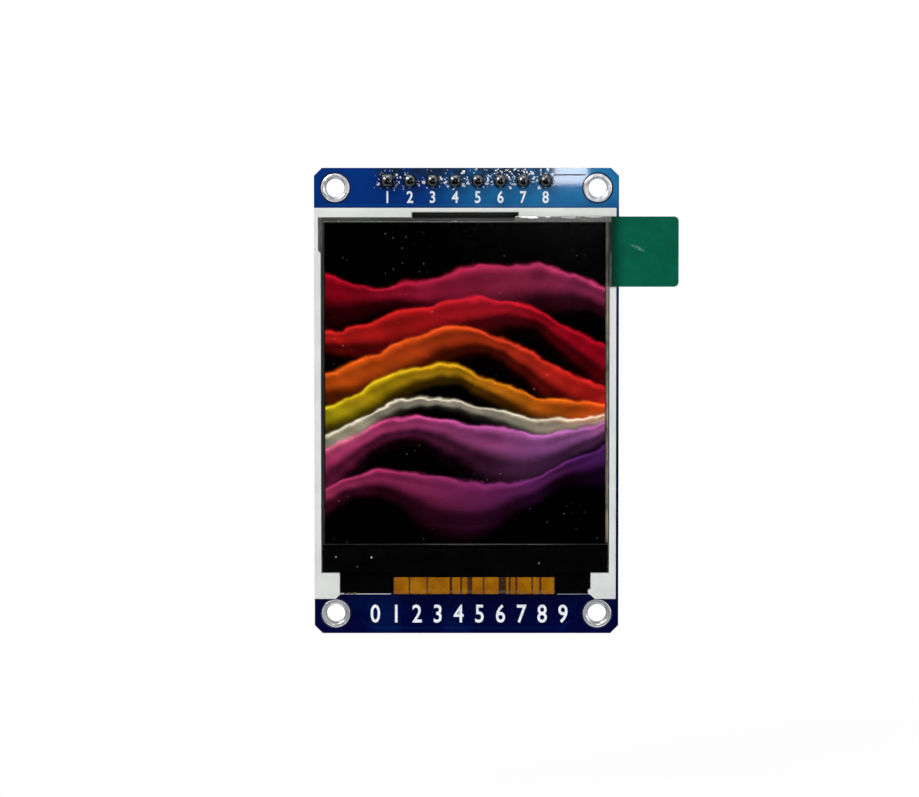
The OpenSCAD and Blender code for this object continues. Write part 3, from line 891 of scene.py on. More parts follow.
@dataclass
class Board:
    """The printed board: mask, plated rings, copper under the mask and printed numbers."""

    shop: Workshop
    copper_t: float = 0.02
    ink_t: float = 0.035
    bed: float = 0.01
    ring_rise: float = 0.1
    ring_wall: Pair = (0.55, 0.43)
    flare: float = 0.15
    lip: Pair = (0.04, 0.012)
    clearance: float = 0.17
    trace_w: float = 0.3
    line_w: float = 0.13
    gap_w: float = 0.14
    lane_drop: float = 0.9
    pad_pitch: float = 2.54
    digit_x: Pair = (-10.3, 10.9)
    digit_rise: float = 2.1
    digit_h: Pair = (1.3, 2.0)
    cap_share: float = 0.7
    stroke: float = 0.035
    digit_w: float = 0.82
    letter_gap: float = 1.05
    ring_count: int = 4
    pin_count: int = 8
    span: Span = field(init=False)

    def __post_init__(self) -> None:
        """Read the board's box."""
        self.span = Span.of("circuit_board")

    def surface(self, face: Face) -> float:
        """Y of a face of the board."""
        return self.span.low.y if face is Face.FRONT else self.span.high.y

    def build(self) -> None:
        """Build and dress every piece of the board."""
        self.shop.dress("blue_mask", "circuit_board")
        for number in range(1, self.ring_count + 1):
            self.ring(number)
        self.mask_openings()
        self.copper(Face.FRONT, self.front_routes(), "copper_front")
        self.copper(Face.REAR, self.rear_routes(), "copper_rear")
        self.seam()
        self.vias()
        self.pin_numbers(Face.FRONT, -1.85)
        self.pin_numbers(Face.REAR, -3.0)
        self.scale_numbers()
        self.outlines()
        self.test_pads()

    def ring(self, number: int) -> None:
        """A tinned ring: a plated barrel with a swollen, uneven land on each face.

        Args:
            number: The ring's number, from 1.
        """
        node = f"mounting_ring_{number}"
        box = Span.of(node)
        outer = box.size.x / 2
        bore, inner = (outer - wall for wall in self.ring_wall)
        front, rear = self.surface(Face.FRONT), self.surface(Face.REAR)
        middle, half = (outer + inner) / 2, (outer - inner) / 2
        crown = [math.radians(a) for a in range(0, 161, 20)]
        swell = [(middle + half * math.cos(a), self.ring_rise * math.sin(a)) for a in crown]
        lip, lift = bore + self.lip[0], self.lip[1]
        section = [
            *((radius, front - rise) for radius, rise in swell),
            (lip, front - lift), (bore, front + self.flare), (bore, rear - self.flare), (lip, rear + lift),
            *((radius, rear + rise) for radius, rise in swell[::-1]),
            (inner + self.bed, rear), (inner + self.bed, front), (outer, front),
        ]
        mesh = bmesh.new()
        verts = lathe(mesh, section, box.axis)
        ruffle([v for v in verts if v.co.y < front - 0.02 or v.co.y > rear + 0.02], 0.035, 0.7, number * 3.7)
        self.shop.piece(f"tinned_ring_{number}", mesh, "tin", "tinned_ring", [node], smooth=60)

    def mask_openings(self) -> None:
        """The gap that the mask leaves round each ring's land, on both faces, dark: partly the bare clearance
        and partly painted shade round the ring.
        """
        mesh = bmesh.new()
        for number in range(1, self.ring_count + 1):
            box = Span.of(f"mounting_ring_{number}")
            inner, outer = box.size.x / 2 - 0.02, box.size.x / 2 + self.clearance
            for face in Face:
                y = self.surface(face)
                low, high = y - face.value * self.bed, y + face.value * self.ink_t / 2
                section = [(inner, low), (inner, high), (outer, high), (outer, low), (inner, low)]
                lathe(mesh, section, box.axis)
        self.shop.piece("mask_openings", mesh, "dark_mask", "blue_board")

    def front_routes(self) -> list[list[Pair]]:
        """Copper runs that show faintly under the mask above and below the panel, as X and Z points."""
        top, side = self.span.high.z, self.span.high.x
        low, far, near = -top + 0.6, side - 5.4, side - 6.4
        return [
            [(-side + 1.0, top - 4.2), (side - 5.0, top - 4.2)],
            [(-far, low + 0.8), (-near, low), (near, low), (far, low + 0.8)],
        ]

    def rear_routes(self) -> list[list[Pair]]:
        """Copper runs from the header's pins to the parts and the panel's joints."""
        pins = [pin_at(number) for number in range(1, self.pin_count + 1)]
        regulator = Span.of("regulator_body").middle
        transistor = Span.of("transistor_body").middle
        joints = Span.of("flex_solder")
        routes = [
            [(pin.x, pin.z), (pin.x, part.z + turn), (part.x + side, part.z + end)]
            for pin, part, turn, side, end in (
                (pins[0], regulator, 3.2, -3.1, 1.1),
                (pins[1], regulator, 2.6, 0.0, 1.3),
                (pins[7], transistor, 3.0, 0.9, 1.4),
            )
        ]
        for order, pin in enumerate(pins[2:7]):
            x = joints.middle.x - 4 + 2 * order
            lane = regulator.z - 3.6 - self.lane_drop * abs(order - 2)
            bend = lane - abs(pin.x - x)
            routes.append([(pin.x, pin.z), (pin.x, lane), (x, bend), (x, joints.high.z + 2.0)])
        return routes

    def copper(self, face: Face, routes: list[list[Pair]], name: str) -> None:
        """Raise copper runs under the mask of one face.

        Args:
            face: The face.
            routes: The runs, as X and Z points.
            name: The piece's name.
        """
        mesh = bmesh.new()
        middle = self.surface(face) + face.value * self.copper_t / 2
        for route in routes:
            for (x0, z0), (x1, z1) in zip(route, route[1:]):
                run = Vector((x1 - x0, 0, z1 - z0))
                turn = Matrix.Rotation(-math.atan2(run.z, run.x), 4, "Y")
                size = Matrix.Diagonal((run.length, self.copper_t, self.trace_w, 1))
                place = Matrix.Translation(Vector(((x0 + x1) / 2, middle, (z0 + z1) / 2)))
                bmesh.ops.create_cube(mesh, size=1, matrix=place @ turn @ size)
            for x, z in route:
                disc(mesh, (x, middle, z), self.trace_w / 2, self.copper_t * 0.9, 16)
        self.shop.piece(name, mesh, "mask_on_copper", "blue_board")

    def seam(self) -> None:
        """The dark gap in the copper beside the last pin, which shows through the mask."""
        y = self.surface(Face.FRONT)
        low = (pin_at(self.pin_count).x + 1.0, y - self.ink_t, self.span.high.z - 0.86)
        high = (self.span.high.x - 3.8, y + self.bed, low[2] + self.gap_w)
        self.shop.bars("copper_gap", [(low, high)], "dark_mask", "blue_board", 0.01, 1)

    def vias(self) -> None:
        """Small tinned vias where the runs to the panel end on the rear face."""
        mesh = bmesh.new()
        y = self.surface(Face.REAR)
        foot, top = y - 0.02, y + self.ink_t
        for route in self.rear_routes()[3:]:
            x, z = route[-1]
            section = [(0.15, foot), (0.15, top), (0.3, top), (0.32, y), (0.32, foot), (0.15, foot)]
            lathe(mesh, section, Vector((x, 0, z)), 20)
        self.shop.piece("vias", mesh, "tin", "tinned_ring")

    def test_pads(self) -> None:
        """Round tinned test pads in a row above the lower edge of the rear face."""
        mesh = bmesh.new()
        y = self.surface(Face.REAR)
        section = [(0.0, y + 0.06), (0.35, y + 0.055), (0.55, y + 0.035), (0.62, y), (0.0, y)]
        for order in range(4):
            at = Vector((self.pad_pitch * (order - 1.5), 0, self.span.low.z + 3.0))
            lathe(mesh, section, at, 28)
        self.shop.piece("test_pads", mesh, "tin", "tinned_ring")

    def ink(self, name: str, marks: list[tuple[str, float, float]], height: float, face: Face) -> None:
        """Print plain numbers on one face.

        Args:
            name: The piece's name.
            marks: The digits, X and Z of each mark.
            height: Their height.
            face: The face.
        """
        mesh = bmesh.new()
        for digits, x, z in marks:
            curve = bpy.data.curves.new(name, "FONT")
            curve.body = digits
            curve.size = height / self.cap_share
            curve.align_x = curve.align_y = "CENTER"
            curve.resolution_u = 3
            curve.offset = self.stroke
            curve.space_character = self.letter_gap
            text = bpy.data.objects.new(name, curve)
            bpy.context.scene.collection.objects.link(text)
            flat = bpy.data.meshes.new_from_object(text)
            flip = Matrix.Rotation(math.pi if face is Face.REAR else 0, 4, "Z")
            narrow = Matrix.Diagonal((self.digit_w, 1, 1, 1))
            place = Matrix.Translation((x, self.surface(face) + face.value * self.ink_t, z))
            flat.transform(place @ flip @ narrow @ Matrix.Rotation(math.pi / 2, 4, "X"))
            mesh.from_mesh(flat)
            bpy.data.objects.remove(text)
            bpy.data.curves.remove(curve)
            bpy.data.meshes.remove(flat)
        grown = bmesh.ops.extrude_face_region(mesh, geom=mesh.faces[:])
        pushed(mesh, grown, (0, -face.value * self.ink_t, 0))
        self.shop.piece(name, mesh, "white_ink", "white_plastic")

    def pin_numbers(self, face: Face, drop: float) -> None:
        """Number the pins from 1.

        Args:
            face: The face that carries the numbers.
            drop: Height of the numbers below the pin row, as a negative number.
        """
        pins = {number: pin_at(number) for number in range(1, self.pin_count + 1)}
        marks = [(str(number), pin.x, pin.z + drop) for number, pin in pins.items()]
        self.ink(f"pin_numbers_{face.name.lower()}", marks, self.digit_h[0], face)

    def scale_numbers(self) -> None:
        """A row of plain digits along the lower edge."""
        low, high = self.digit_x
        z = self.span.low.z + self.digit_rise
        marks = [(str(n), low + (high - low) * n / 9, z) for n in range(10)]
        self.ink("lower_numbers", marks, self.digit_h[1], Face.FRONT)

    def outlines(self) -> None:
        """Printed outlines round the header and the parts on the rear face."""
        mesh = bmesh.new()
        y = self.surface(Face.REAR)
        parts = ["header_housing", "regulator_body", "transistor_body"]
        parts += [f"capacitor_{n}" for n in range(1, 4)] + [f"resistor_{n}" for n in range(1, 5)]
        for part in parts:
            box = Span.of(part)
            margin = Vector((0.28, 0, 0.42 if part.endswith("body") else 0.28))
            low, high = box.low - margin, box.high + margin
            top = min(high.z, self.span.high.z - 0.15)
            window(mesh, (low.x, low.z), (high.x, top), self.line_w, (y - self.bed, y + self.ink_t))
        self.shop.piece("part_outlines", mesh, "white_ink", "white_plastic")


# ---- Pin header ----


@dataclass
class PinHeader:
    """The header behind the board and its soldered pin ends in front."""

    shop: Workshop
    pin_count: int = 8
    flux_seed: int = 11
    corner_pull: float = 0.3
    fullness: float = 2.5
    fleck_t: float = 0.03
    highest: float = 1.35
    board: Span = field(init=False)
    flux: Mesh = field(init=False)
    chance: random.Random = field(init=False)

    def __post_init__(self) -> None:
        """Read the board's box and start the flux."""
        self.board = Span.of("circuit_board")
        self.flux, self.chance = bmesh.new(), random.Random(self.flux_seed)

    def build(self) -> None:
        """Build and dress every piece of the header."""
        shop = self.shop
        shop.redraw("header_housing", "header_body", "black_nylon", "black_nylon", 0.08)
        for number in range(1, self.pin_count + 1):
            shop.redraw(f"header_pin_{number}", f"pin_{number}", "gold", "gold_pin", 0.03, 1, 60)
            self.joint(number)
            if number == 1:
                self.square_pad(Span.of("solder_joint_1"))
        self.flux_specks()

    def joint(self, number: int) -> None:
        """One solder joint, with the lumps and the lean that hand soldering leaves.

        Args:
            number: The joint's number, from 1.
        """
        node = f"solder_joint_{number}"
        box = Span.of(node)
        radius, front = box.size.x / 2, self.board.low.y
        height = front - box.low.y
        rise = [step / 16 for step in range(17)]
        dome = [(radius * math.sqrt(max(1 - s ** self.fullness, 0.0)), front - height * s) for s in rise]
        mesh = bmesh.new()
        verts = lathe(mesh, [(0.0, front), *dome], box.axis, 40)
        if number == 1:
            self.draw_to_corners(verts, box)
        ruffle([v for v in verts if v.co.y < front - 0.01], 0.045, 0.9, number * 5.1)
        disc(mesh, (box.middle.x, self.board.middle.y, box.middle.z), 0.5, self.board.size.y)
        self.shop.piece(f"joint_{number}", mesh, "solder", "solder", [node], smooth=50)

    def draw_to_corners(self, verts: Verts, box: Span) -> None:
        """Pull a round joint's foot out to the corners of its square pad.

        Args:
            verts: The joint's vertices.
            box: The joint's box.
        """
        front = self.board.low.y
        for vert in verts:
            x, z = vert.co.x - box.middle.x, vert.co.z - box.middle.z
            foot = 1 - (front - vert.co.y) / (front - box.low.y)
            pull = 1 + self.corner_pull * foot * math.sin(2 * math.atan2(z, x)) ** 2
            vert.co.x, vert.co.z = box.middle.x + x * pull, box.middle.z + z * pull

    def square_pad(self, box: Span) -> None:
        """The uneven tin on the square pad of the first pin.

        Args:
            box: The box of its joint.
        """
        front = self.board.low.y
        mesh = bmesh.new()
        block(mesh, (box.low.x, front - 0.09, box.low.z), (box.high.x, front, box.high.z))
        bmesh.ops.subdivide_edges(mesh, edges=mesh.edges[:], cuts=5, use_grid_fill=True)
        ruffle([v for v in mesh.verts if v.co.y < front - 0.02], 0.05, 0.6, 2.0)
        self.shop.piece("pin_1_pad", mesh, "dull_solder", "solder")

    def flux_specks(self) -> None:
        """Dried flux: white flecks round the joints, denser and above the pins on the right."""
        draw = self.chance
        for number in range(1, self.pin_count + 1):
            pin = pin_at(number)
            for _ in range(10 + 2 * number):
                side = draw.choice((-1, 1))
                angle = math.radians(draw.gauss(0, 28) + (40 if number > 5 and draw.random() < 0.5 else 0))
                away = 0.86 + abs(draw.gauss(0, 0.22))
                z = min(pin.z + away * math.sin(angle), pin.z + self.highest)
                self.fleck(pin.x + side * away * math.cos(angle) * 1.1, z, draw.uniform(0.04, 0.15))
            for _ in range(3 if number < 5 else 9):
                x, z = pin.x + draw.gauss(0, 0.9), pin.z + draw.uniform(0.85, 1.36)
                self.fleck(x, z, draw.uniform(0.04, 0.16) if number > 4 else 0.05)
            for _ in range(3):
                x, z = pin.x + draw.gauss(-0.6, 1.0), pin.z + draw.uniform(-1.1, 1.2)
                self.fleck(x, z, draw.uniform(0.02, 0.05))
        self.shop.piece("flux_specks", self.flux, "dry_flux", "solder", smooth=180)

    def fleck(self, x: float, z: float, size: float) -> None:
        """Add one flat, ragged fleck on the board's front face.

        Args:
            x: Its X.
            z: Its Z.
            size: Its radius.
        """
        draw = self.chance
        radii = (size * draw.uniform(0.7, 1.8), self.fleck_t, size * draw.uniform(0.5, 1.2))
        at = (x, self.board.low.y - 0.01, z)
        verts = blob(self.flux, at, radii, turn=draw.uniform(0, math.pi))
        ruffle(verts, size * 0.6, size * 1.5, draw.uniform(0, 50))
        over = max(v.co.z for v in verts) - self.board.high.z + 0.03
        if over > 0:
            bmesh.ops.translate(self.flux, verts=verts, vec=(0, 0, -over))


# ---- Display panel ----


@dataclass
class Panel:
    """The panel: tray, films, glass with its ground edges, tapes and the clear cover film."""

    shop: Workshop
    edge_w: float = 0.1
    right_edge: Pair = (0.35, 0.33)
    shoulder_x: float = 5.4
    foot_w: float = 2.8
    bay_top: float = -19.2
    notch_x: Pair = (-5.95, 5.6)
    notch_top: float = 21.06
    contact_w: float = 0.34
    contact_pitch: float = 0.5
    specks: tuple[Triple, ...] = (
        (0.045, 1.7, 0.07), (0.17, 1.65, 0.12), (0.76, 1.0, 0.06), (0.12, 0.6, 0.04),
    )

    def build(self) -> None:
        """Build and dress every piece of the panel."""
        shop = self.shop
        shop.redraw("backlight_frame", "white_tray", "white_plastic", "white_plastic", 0.06)
        shop.dress("white_film", "reflector_sheet", "diffuser_film")
        shop.dress("clear_acrylic", "light_guide")
        shop.dress("prism_sheet", "lower_prism_film", "upper_prism_film")
        shop.dress("lamp_resin", *(f"led_lamp_{n}" for n in range(1, 5)))
        shop.dress("lamp_strip", "led_flex")
        shop.dress("black_tape", "rim_tape")
        shop.dress("gloss_black", "driver_cover_tape", "rear_polariser")
        shop.dress("panel_glass", "array_glass", "filter_glass")
        shop.dress("silicon", "driver_chip")
        shop.dress("paper_tape", "mounting_tape_left", "mounting_tape_right")
        shop.dress("picture", "front_polariser")
        self.bay()
        self.glass_edges()
        self.cover_film()
        self.dust()

    def bay(self) -> None:
        """Black film over the lamp bay between the tray's feet, and the lamp strip's contacts below it."""
        tail, tray = Span.of("flex_tail"), Span.of("backlight_frame")
        front, low, reach = Span.of("rim_tape").low.y, tail.low.z, self.foot_w - 0.05
        films = [
            ((left, front - 0.03, low + drop), (right, front + 0.01, self.bay_top))
            for left, right, drop in (
                (tray.low.x + reach, tail.low.x - 0.02, 0.13),
                (tail.high.x + 0.02, tray.high.x - reach, 0.03),
            )
        ]
        self.shop.bars("bay_film", films, "gloss_black", "black_tape", 0.01, 1)
        left, right = self.notch_x
        edge = (left, front - 0.05, self.notch_top - 0.08), (right, front + 0.01, self.notch_top)
        self.shop.bars("film_locating_edge", [edge], "panel_glass", "prism_film", 0.02, 1)
        starts = [tray.low.x + self.foot_w + 0.45 + self.contact_pitch * order for order in range(3)]
        contacts = [
            ((x, front - 0.045, low + 0.02), (x + self.contact_w, front - 0.02, low + 0.2)) for x in starts
        ]
        self.shop.bars("lamp_contacts", contacts, "gold", "lamp_strip", 0.02)

    def glass_edges(self) -> None:
        """Ground chamfers along the upper glass as thin lines: the left one dark with painted shade, the
        right one tan and the lower one bright along a stretch, both as painted highlights.
        """
        glass = Span.of("filter_glass")
        front, low, high = glass.low.y, glass.low, glass.high
        from_edge, right_w = self.right_edge
        for name, x, width in (("left", low.x, self.edge_w), ("right", high.x - from_edge, right_w)):
            bar = (x, front - 0.01, low.z + 0.3), (x + width, front + 0.1, high.z - 0.2)
            self.shop.bars(f"ground_glass_{name}", [bar], f"ground_glass_{name}", "panel_glass", 0.03)
        mesh = bmesh.new()
        block(mesh, (low.x + 0.35, front - 0.02, low.z), (high.x - 0.35, front + 0.1, low.z + self.edge_w))
        long_cuts(mesh, 60)
        ruffle(mesh.verts, 0.03, 1.3, 4.0)
        self.shop.piece("ground_glass_lower", mesh, "ground_glass", "panel_glass")

    def cover_film(self) -> None:
        """The clear film, which lifts in low ripples along its upper edge, with painted glints on a rippled
        strip there.
        """
        mesh = self.shop.copy_of("protective_film")
        film, glass = Span.of("protective_film"), Span.of("filter_glass")
        for vert in mesh.verts:
            if abs(vert.co.x - glass.middle.x) < 1:
                vert.co.x = self.shoulder_x
        soften(mesh, 0.01, 1)
        self.shop.piece("cover_film", mesh, "clear_film", "clear_film", ["protective_film"])
        mesh = bmesh.new()
        low = (self.shoulder_x + 0.05, film.low.y + 0.01, film.high.z - 0.2)
        block(mesh, low, (glass.high.x - 0.15, film.high.y, film.high.z + 0.02))
        long_cuts(mesh, 140)
        ruffle(mesh.verts, 0.12, 0.7, 9.0)
        for vert in mesh.verts:
            vert.co.y = min(max(vert.co.y, film.low.y - 0.03), film.high.y)
        self.shop.piece("film_rolled_edge", mesh, "film_glint", "clear_film")

    def dust(self) -> None:
        """A few pale specks on the black tape over the driver."""
        tape = Span.of("driver_cover_tape")
        mesh = bmesh.new()
        for share, rise, size in self.specks:
            at = (tape.low.x + share * tape.size.x, tape.low.y, tape.low.z + 0.6 + rise)
            blob(mesh, at, (size, 0.03, size * 0.8))
        self.shop.piece("dust_specks", mesh, "dry_flux", "white_film", smooth=180)


@dataclass
class FlexTail:
    """The amber tail, and the copper lands that shine through its film; gaps are their starts and widths."""

    shop: Workshop
    gaps: tuple[Pair, ...] = (
        (1.75, 0.16), (3.75, 0.14), (6.35, 0.3), (7.55, 0.2), (8.35, 0.55), (10.1, 0.16),
        (11.85, 0.85), (13.0, 0.2), (13.75, 0.2), (15.55, 0.16), (16.45, 0.2),
    )
    lift: float = 0.012
    margin: float = 0.12
    land_t: float = 0.008
    fold_steps: int = 12

    def build(self) -> None:
        """Build and dress every piece of the tail."""
        self.shop.dress("amber_film", "flex_tail")
        self.shop.dress("solder", "flex_solder")
        self.lands()

    def lands(self) -> None:
        """Copper lands between the gaps, bent round the same fold as the film."""
        tail, board = Span.of("flex_tail"), Span.of("circuit_board").low.y
        radius = (board - tail.low.y) / 2
        reach, centre = radius + self.lift, tail.low.z + radius
        path = [(tail.low.y - self.lift, tail.low.z + tail.size.z * 0.2 + radius)]
        for step in range(self.fold_steps + 1):
            angle = math.radians(180 + 90 * step / self.fold_steps)
            path.append((board - radius + reach * math.cos(angle), centre + reach * math.sin(angle)))
        mesh = bmesh.new()
        left = tail.low.x + self.margin
        for start, width in (*self.gaps, (tail.size.x - self.margin, 0.0)):
            right = tail.low.x + start
            if right - left > 0.1:
                line = [mesh.verts.new((left, y, z)) for y, z in path]
                edges = [mesh.edges.new(pair) for pair in zip(line, line[1:])]
                pushed(mesh, bmesh.ops.extrude_edge_only(mesh, edges=edges), (right - left, 0, 0))
            left = right + width
        bmesh.ops.solidify(mesh, geom=mesh.faces[:], thickness=self.land_t)
        self.shop.piece("copper_lands", mesh, "amber_copper", "amber_flex")


@dataclass
class PullTab:
    """The green tab of the cover film."""

    shop: Workshop

    def build(self) -> None:
        """Build the tab with soft edges."""
        self.shop.redraw("pull_tab", "green_tab", "green_film", "green_tab", 0.02, 1, 60)


# ---- Rear components ----


@dataclass
class RearParts:
    """Small parts on the rear face, each on its pads."""

    shop: Workshop
    metal_w: float = 0.32
    wedge: float = 0.25
    wedge_rise: float = 0.7
    leg_side: float = 0.95
    solder: Triple = (0.36, 0.12, 0.42)

    def build(self) -> None:
        """Build and dress every rear part."""
        shop = self.shop
        for part in ("regulator", "transistor"):
            shop.redraw(f"{part}_body", f"{part}_case", "black_epoxy", "black_epoxy", 0.05)
            shop.redraw(f"{part}_leads", f"{part}_legs", "tin", "tinned_lead", 0.03, 2, 50)
            self.lead_solder(part)
        for number in range(1, 4):
            self.chip(f"capacitor_{number}", "tan_ceramic", "tan_ceramic")
        for number in range(1, 5):
            self.chip(f"resistor_{number}", "resistor_glaze", "resistor_body")

    def lead_solder(self, part: str) -> None:
        """Solder on the pads of a three-legged case.

        Args:
            part: The part's name.
        """
        legs = Span.of(f"{part}_leads")
        x, z, reach, side = legs.middle.x, legs.middle.z, legs.size.z / 2, self.leg_side
        mesh = bmesh.new()
        for at_x, at_z in ((x, z + reach), (x - side, z - reach), (x + side, z - reach)):
            for vert in blob(mesh, (at_x, 0.0, at_z), self.solder, 3):
                vert.co.y = max(vert.co.y, 0.0)
        self.shop.piece(f"{part}_solder", mesh, "bright_solder", "solder", smooth=60)

    def chip(self, node: str, finish: str, slot: str) -> None:
        """A chip part: a fired body, two metal ends and a hollow solder wedge at each.

        Args:
            node: The CAD node that it stands for.
            finish: The body's finish.
            slot: The body's material slot.
        """
        box = Span.of(node)
        off = Vector((self.wedge, 0, 0))
        low, high = box.low + off, box.high - off
        inset = Vector((self.metal_w, 0.02, 0.02))
        self.shop.bars(f"{node}_fired", [(low + inset, high - inset)], finish, slot, 0.03, replaces=[node])
        ends = bmesh.new()
        block(ends, low, (low.x + self.metal_w, high.y, high.z))
        block(ends, (high.x - self.metal_w, low.y, low.z), high)
        soften(ends, 0.06, 3)
        steps = [math.radians(a) for a in range(0, 91, 15)]
        tall = (high.y - low.y) * self.wedge_rise
        for side, x in ((-1, low.x), (1, high.x)):
            curve = [(x + side * self.wedge * (1 - math.sin(a)), tall * (1 - math.cos(a))) for a in steps]
            verts = [ends.verts.new((px, py, low.z)) for px, py in ((x, 0.0), *curve)]
            grown = bmesh.ops.extrude_face_region(ends, geom=[ends.faces.new(verts)])
            pushed(ends, grown, (0, 0, high.z - low.z))
        self.shop.piece(f"{node}_ends", ends, "bright_solder", "tinned_lead")


# ---- Studio ----


@dataclass(frozen=True)
class Lamp:
    """A square soft lamp aimed at the module."""

    name: str
    place: Triple
    size: float
    watts: float


@dataclass(frozen=True)
class Card:
    """A card that only reflections see: bright, or black cloth where its glow is 0. Lengths in metres."""

    name: str
    middle: Triple
    size: Pair
    glow: float
    upright: bool = True


@dataclass
class Studio:
    """White surroundings, soft lamps and the camera."""

    board_front: float
    lamps: tuple[Lamp, ...] = (
        Lamp("key", (-0.32, -0.42, 0.4), 0.14, 1.6),
        Lamp("fill", (0.45, -0.4, 0.12), 0.3, 0.95),
        Lamp("top", (0.05, 0.02, 0.6), 0.3, 1.15),
        Lamp("rear", (-0.25, 0.5, 0.35), 0.25, 1.6),
    )
    cards: tuple[Card, ...] = (
        Card("flag", (0.0, -0.2, 0.05), (0.5, 0.5), 0.0),
        Card("window_card", (0.0161, -0.15, 0.033), (0.0052, 0.0145), 26.0),
        Card("strip_card", (0.0115, -0.15, 0.035), (0.014, 0.009), 22.0),
        Card("joint_card", (-0.19, -0.09, 0.2), (0.17, 0.17), 22.0, upright=False),
    )
    ambient: float = 0.33
    floor_drop: float = 0.02
    floor_glow: Pair = (0.94, 1.0)
    shadow_reach: Pair = (0.08, 0.2)
    distance: float = 0.4
    rise: float = 3.0
    view_width: float = 0.10356
    off_centre: Pair = (7.0, 2.75)
    picture_w: int = 919

    def build(self) -> None:
        """Set up the light, the floor and the camera."""
        bpy.context.scene.view_settings.view_transform = "Standard"
        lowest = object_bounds()[0][2]
        self.world()
        self.floor(lowest - self.floor_drop)
        low_flag = Card("low_flag", (0.0, -0.13, lowest - self.floor_drop / 2), (0.5, 0.24), 0.0, False)
        for card in (low_flag, *self.cards):
            self.card(card)
        for lamp in self.lamps:
            self.light(lamp)
        self.camera()

    def white_rays(self, tree: Tree) -> Wire:
        """Tell the rays that see the white surroundings from the others.

        Args:
            tree: The node tree to work in.

        Returns:
            A value that is 1 for them and 0 for the others.
        """
        path = tree.add("LightPath")
        camera, *others = (Wire(tree, path.outputs[ray.value]) for ray in Ray)
        for other in others:
            camera = camera.to("MAXIMUM", other)
        return camera

    def world(self) -> None:
        """White to the eye and in reflections, and a plain soft level of light."""
        world = bpy.data.worlds.new("white_room")
        bpy.context.scene.world = world
        world.use_nodes = True
        tree = Tree(world.node_tree)
        feeds = {"Value": self.white_rays(tree), "To Min": self.ambient, "To Max": 1.0}
        back = world.node_tree.nodes["Background"]
        tree.feed(back.inputs["Color"], (1, 1, 1))
        tree.feed(back.inputs["Strength"], tree.output("MapRange", "Result", feeds))

    def floor(self, height: float) -> None:
        """A pale floor below the module, which keeps a faint shadow.

        Args:
            height: Its Z in metres.
        """
        bpy.ops.mesh.primitive_plane_add(size=6, location=(0, 0, height))
        floor = bpy.context.object
        floor.name = "floor"
        bench = Bench("pale_floor")
        away = bench.output("VectorMath", "Value", {0: bench.own("Object")}, operation="LENGTH")
        (near, far), (least, most) = self.shadow_reach, self.floor_glow
        feeds = {"Value": away, "From Min": near, "From Max": far, "To Min": least, "To Max": most}
        share = self.white_rays(bench) * bench.output("MapRange", "Result", feeds)
        matt = bench.output("BsdfDiffuse", "BSDF", {"Color": (0.9, 0.9, 0.9)})
        glow = bench.output("Emission", "Emission")
        bench.surface(bench.output("MixShader", "Shader", {"Fac": share, 1: matt, 2: glow}))
        floor.data.materials.append(bench.material)
        floor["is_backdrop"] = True

    def card(self, card: Card) -> None:
        """Add a card.

        Args:
            card: Its place, size and glow.
        """
        turn = (math.pi / 2 if card.upright else 0.0, 0, 0)
        bpy.ops.mesh.primitive_plane_add(size=1, location=card.middle, rotation=turn)
        made = bpy.context.object
        made.name = card.name
        made.scale = (*card.size, 1)
        bench = Bench(card.name)
        bench.set(Base_Color=(0, 0, 0), Roughness=1.0, Specular_IOR_Level=0.0)
        bench.set(Emission_Color=(1, 1, 1), Emission_Strength=card.glow)
        made.data.materials.append(bench.material)
        for kind in ("camera", "diffuse", "shadow", "transmission"):
            setattr(made, f"visible_{kind}", False)
        made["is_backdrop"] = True

    def light(self, lamp: Lamp) -> None:
        """Add one lamp.

        Args:
            lamp: Its place, size and power.
        """
        data = bpy.data.lights.new(lamp.name, "AREA")
        data.size = lamp.size
        data.energy = lamp.watts
        self.hang(bpy.data.objects.new(lamp.name, data), Vector(lamp.place), Vector())

    def camera(self) -> None:
        """A long lens, square on and a little above the module."""
        data = bpy.data.cameras.new("camera")
        data.sensor_width = 36
        data.lens = data.sensor_width * self.distance / self.view_width
        data.shift_x = -self.off_centre[0] / self.picture_w
        data.shift_y = self.off_centre[1] / self.picture_w
        data.clip_start = 0.01
        aim, pitch = Vector((0, self.board_front * MM, 0)), math.radians(self.rise)
        made = bpy.data.objects.new("camera", data)
        self.hang(made, aim + Vector((0, -math.cos(pitch), math.sin(pitch))) * self.distance, aim)
        bpy.context.scene.camera = made

    def hang(self, made: bpy.types.Object, place: Vector, aim: Vector) -> None:
        """Put a lamp or the camera in its place and aim it.

        Args:
            made: The object.
            place: Its place in metres.
            aim: The point that it looks at.
        """
        made.location = place
        made.rotation_euler = (aim - place).to_track_quat("-Z", "Y").to_euler()
        bpy.context.scene.collection.objects.link(made)


# ---- The module ----


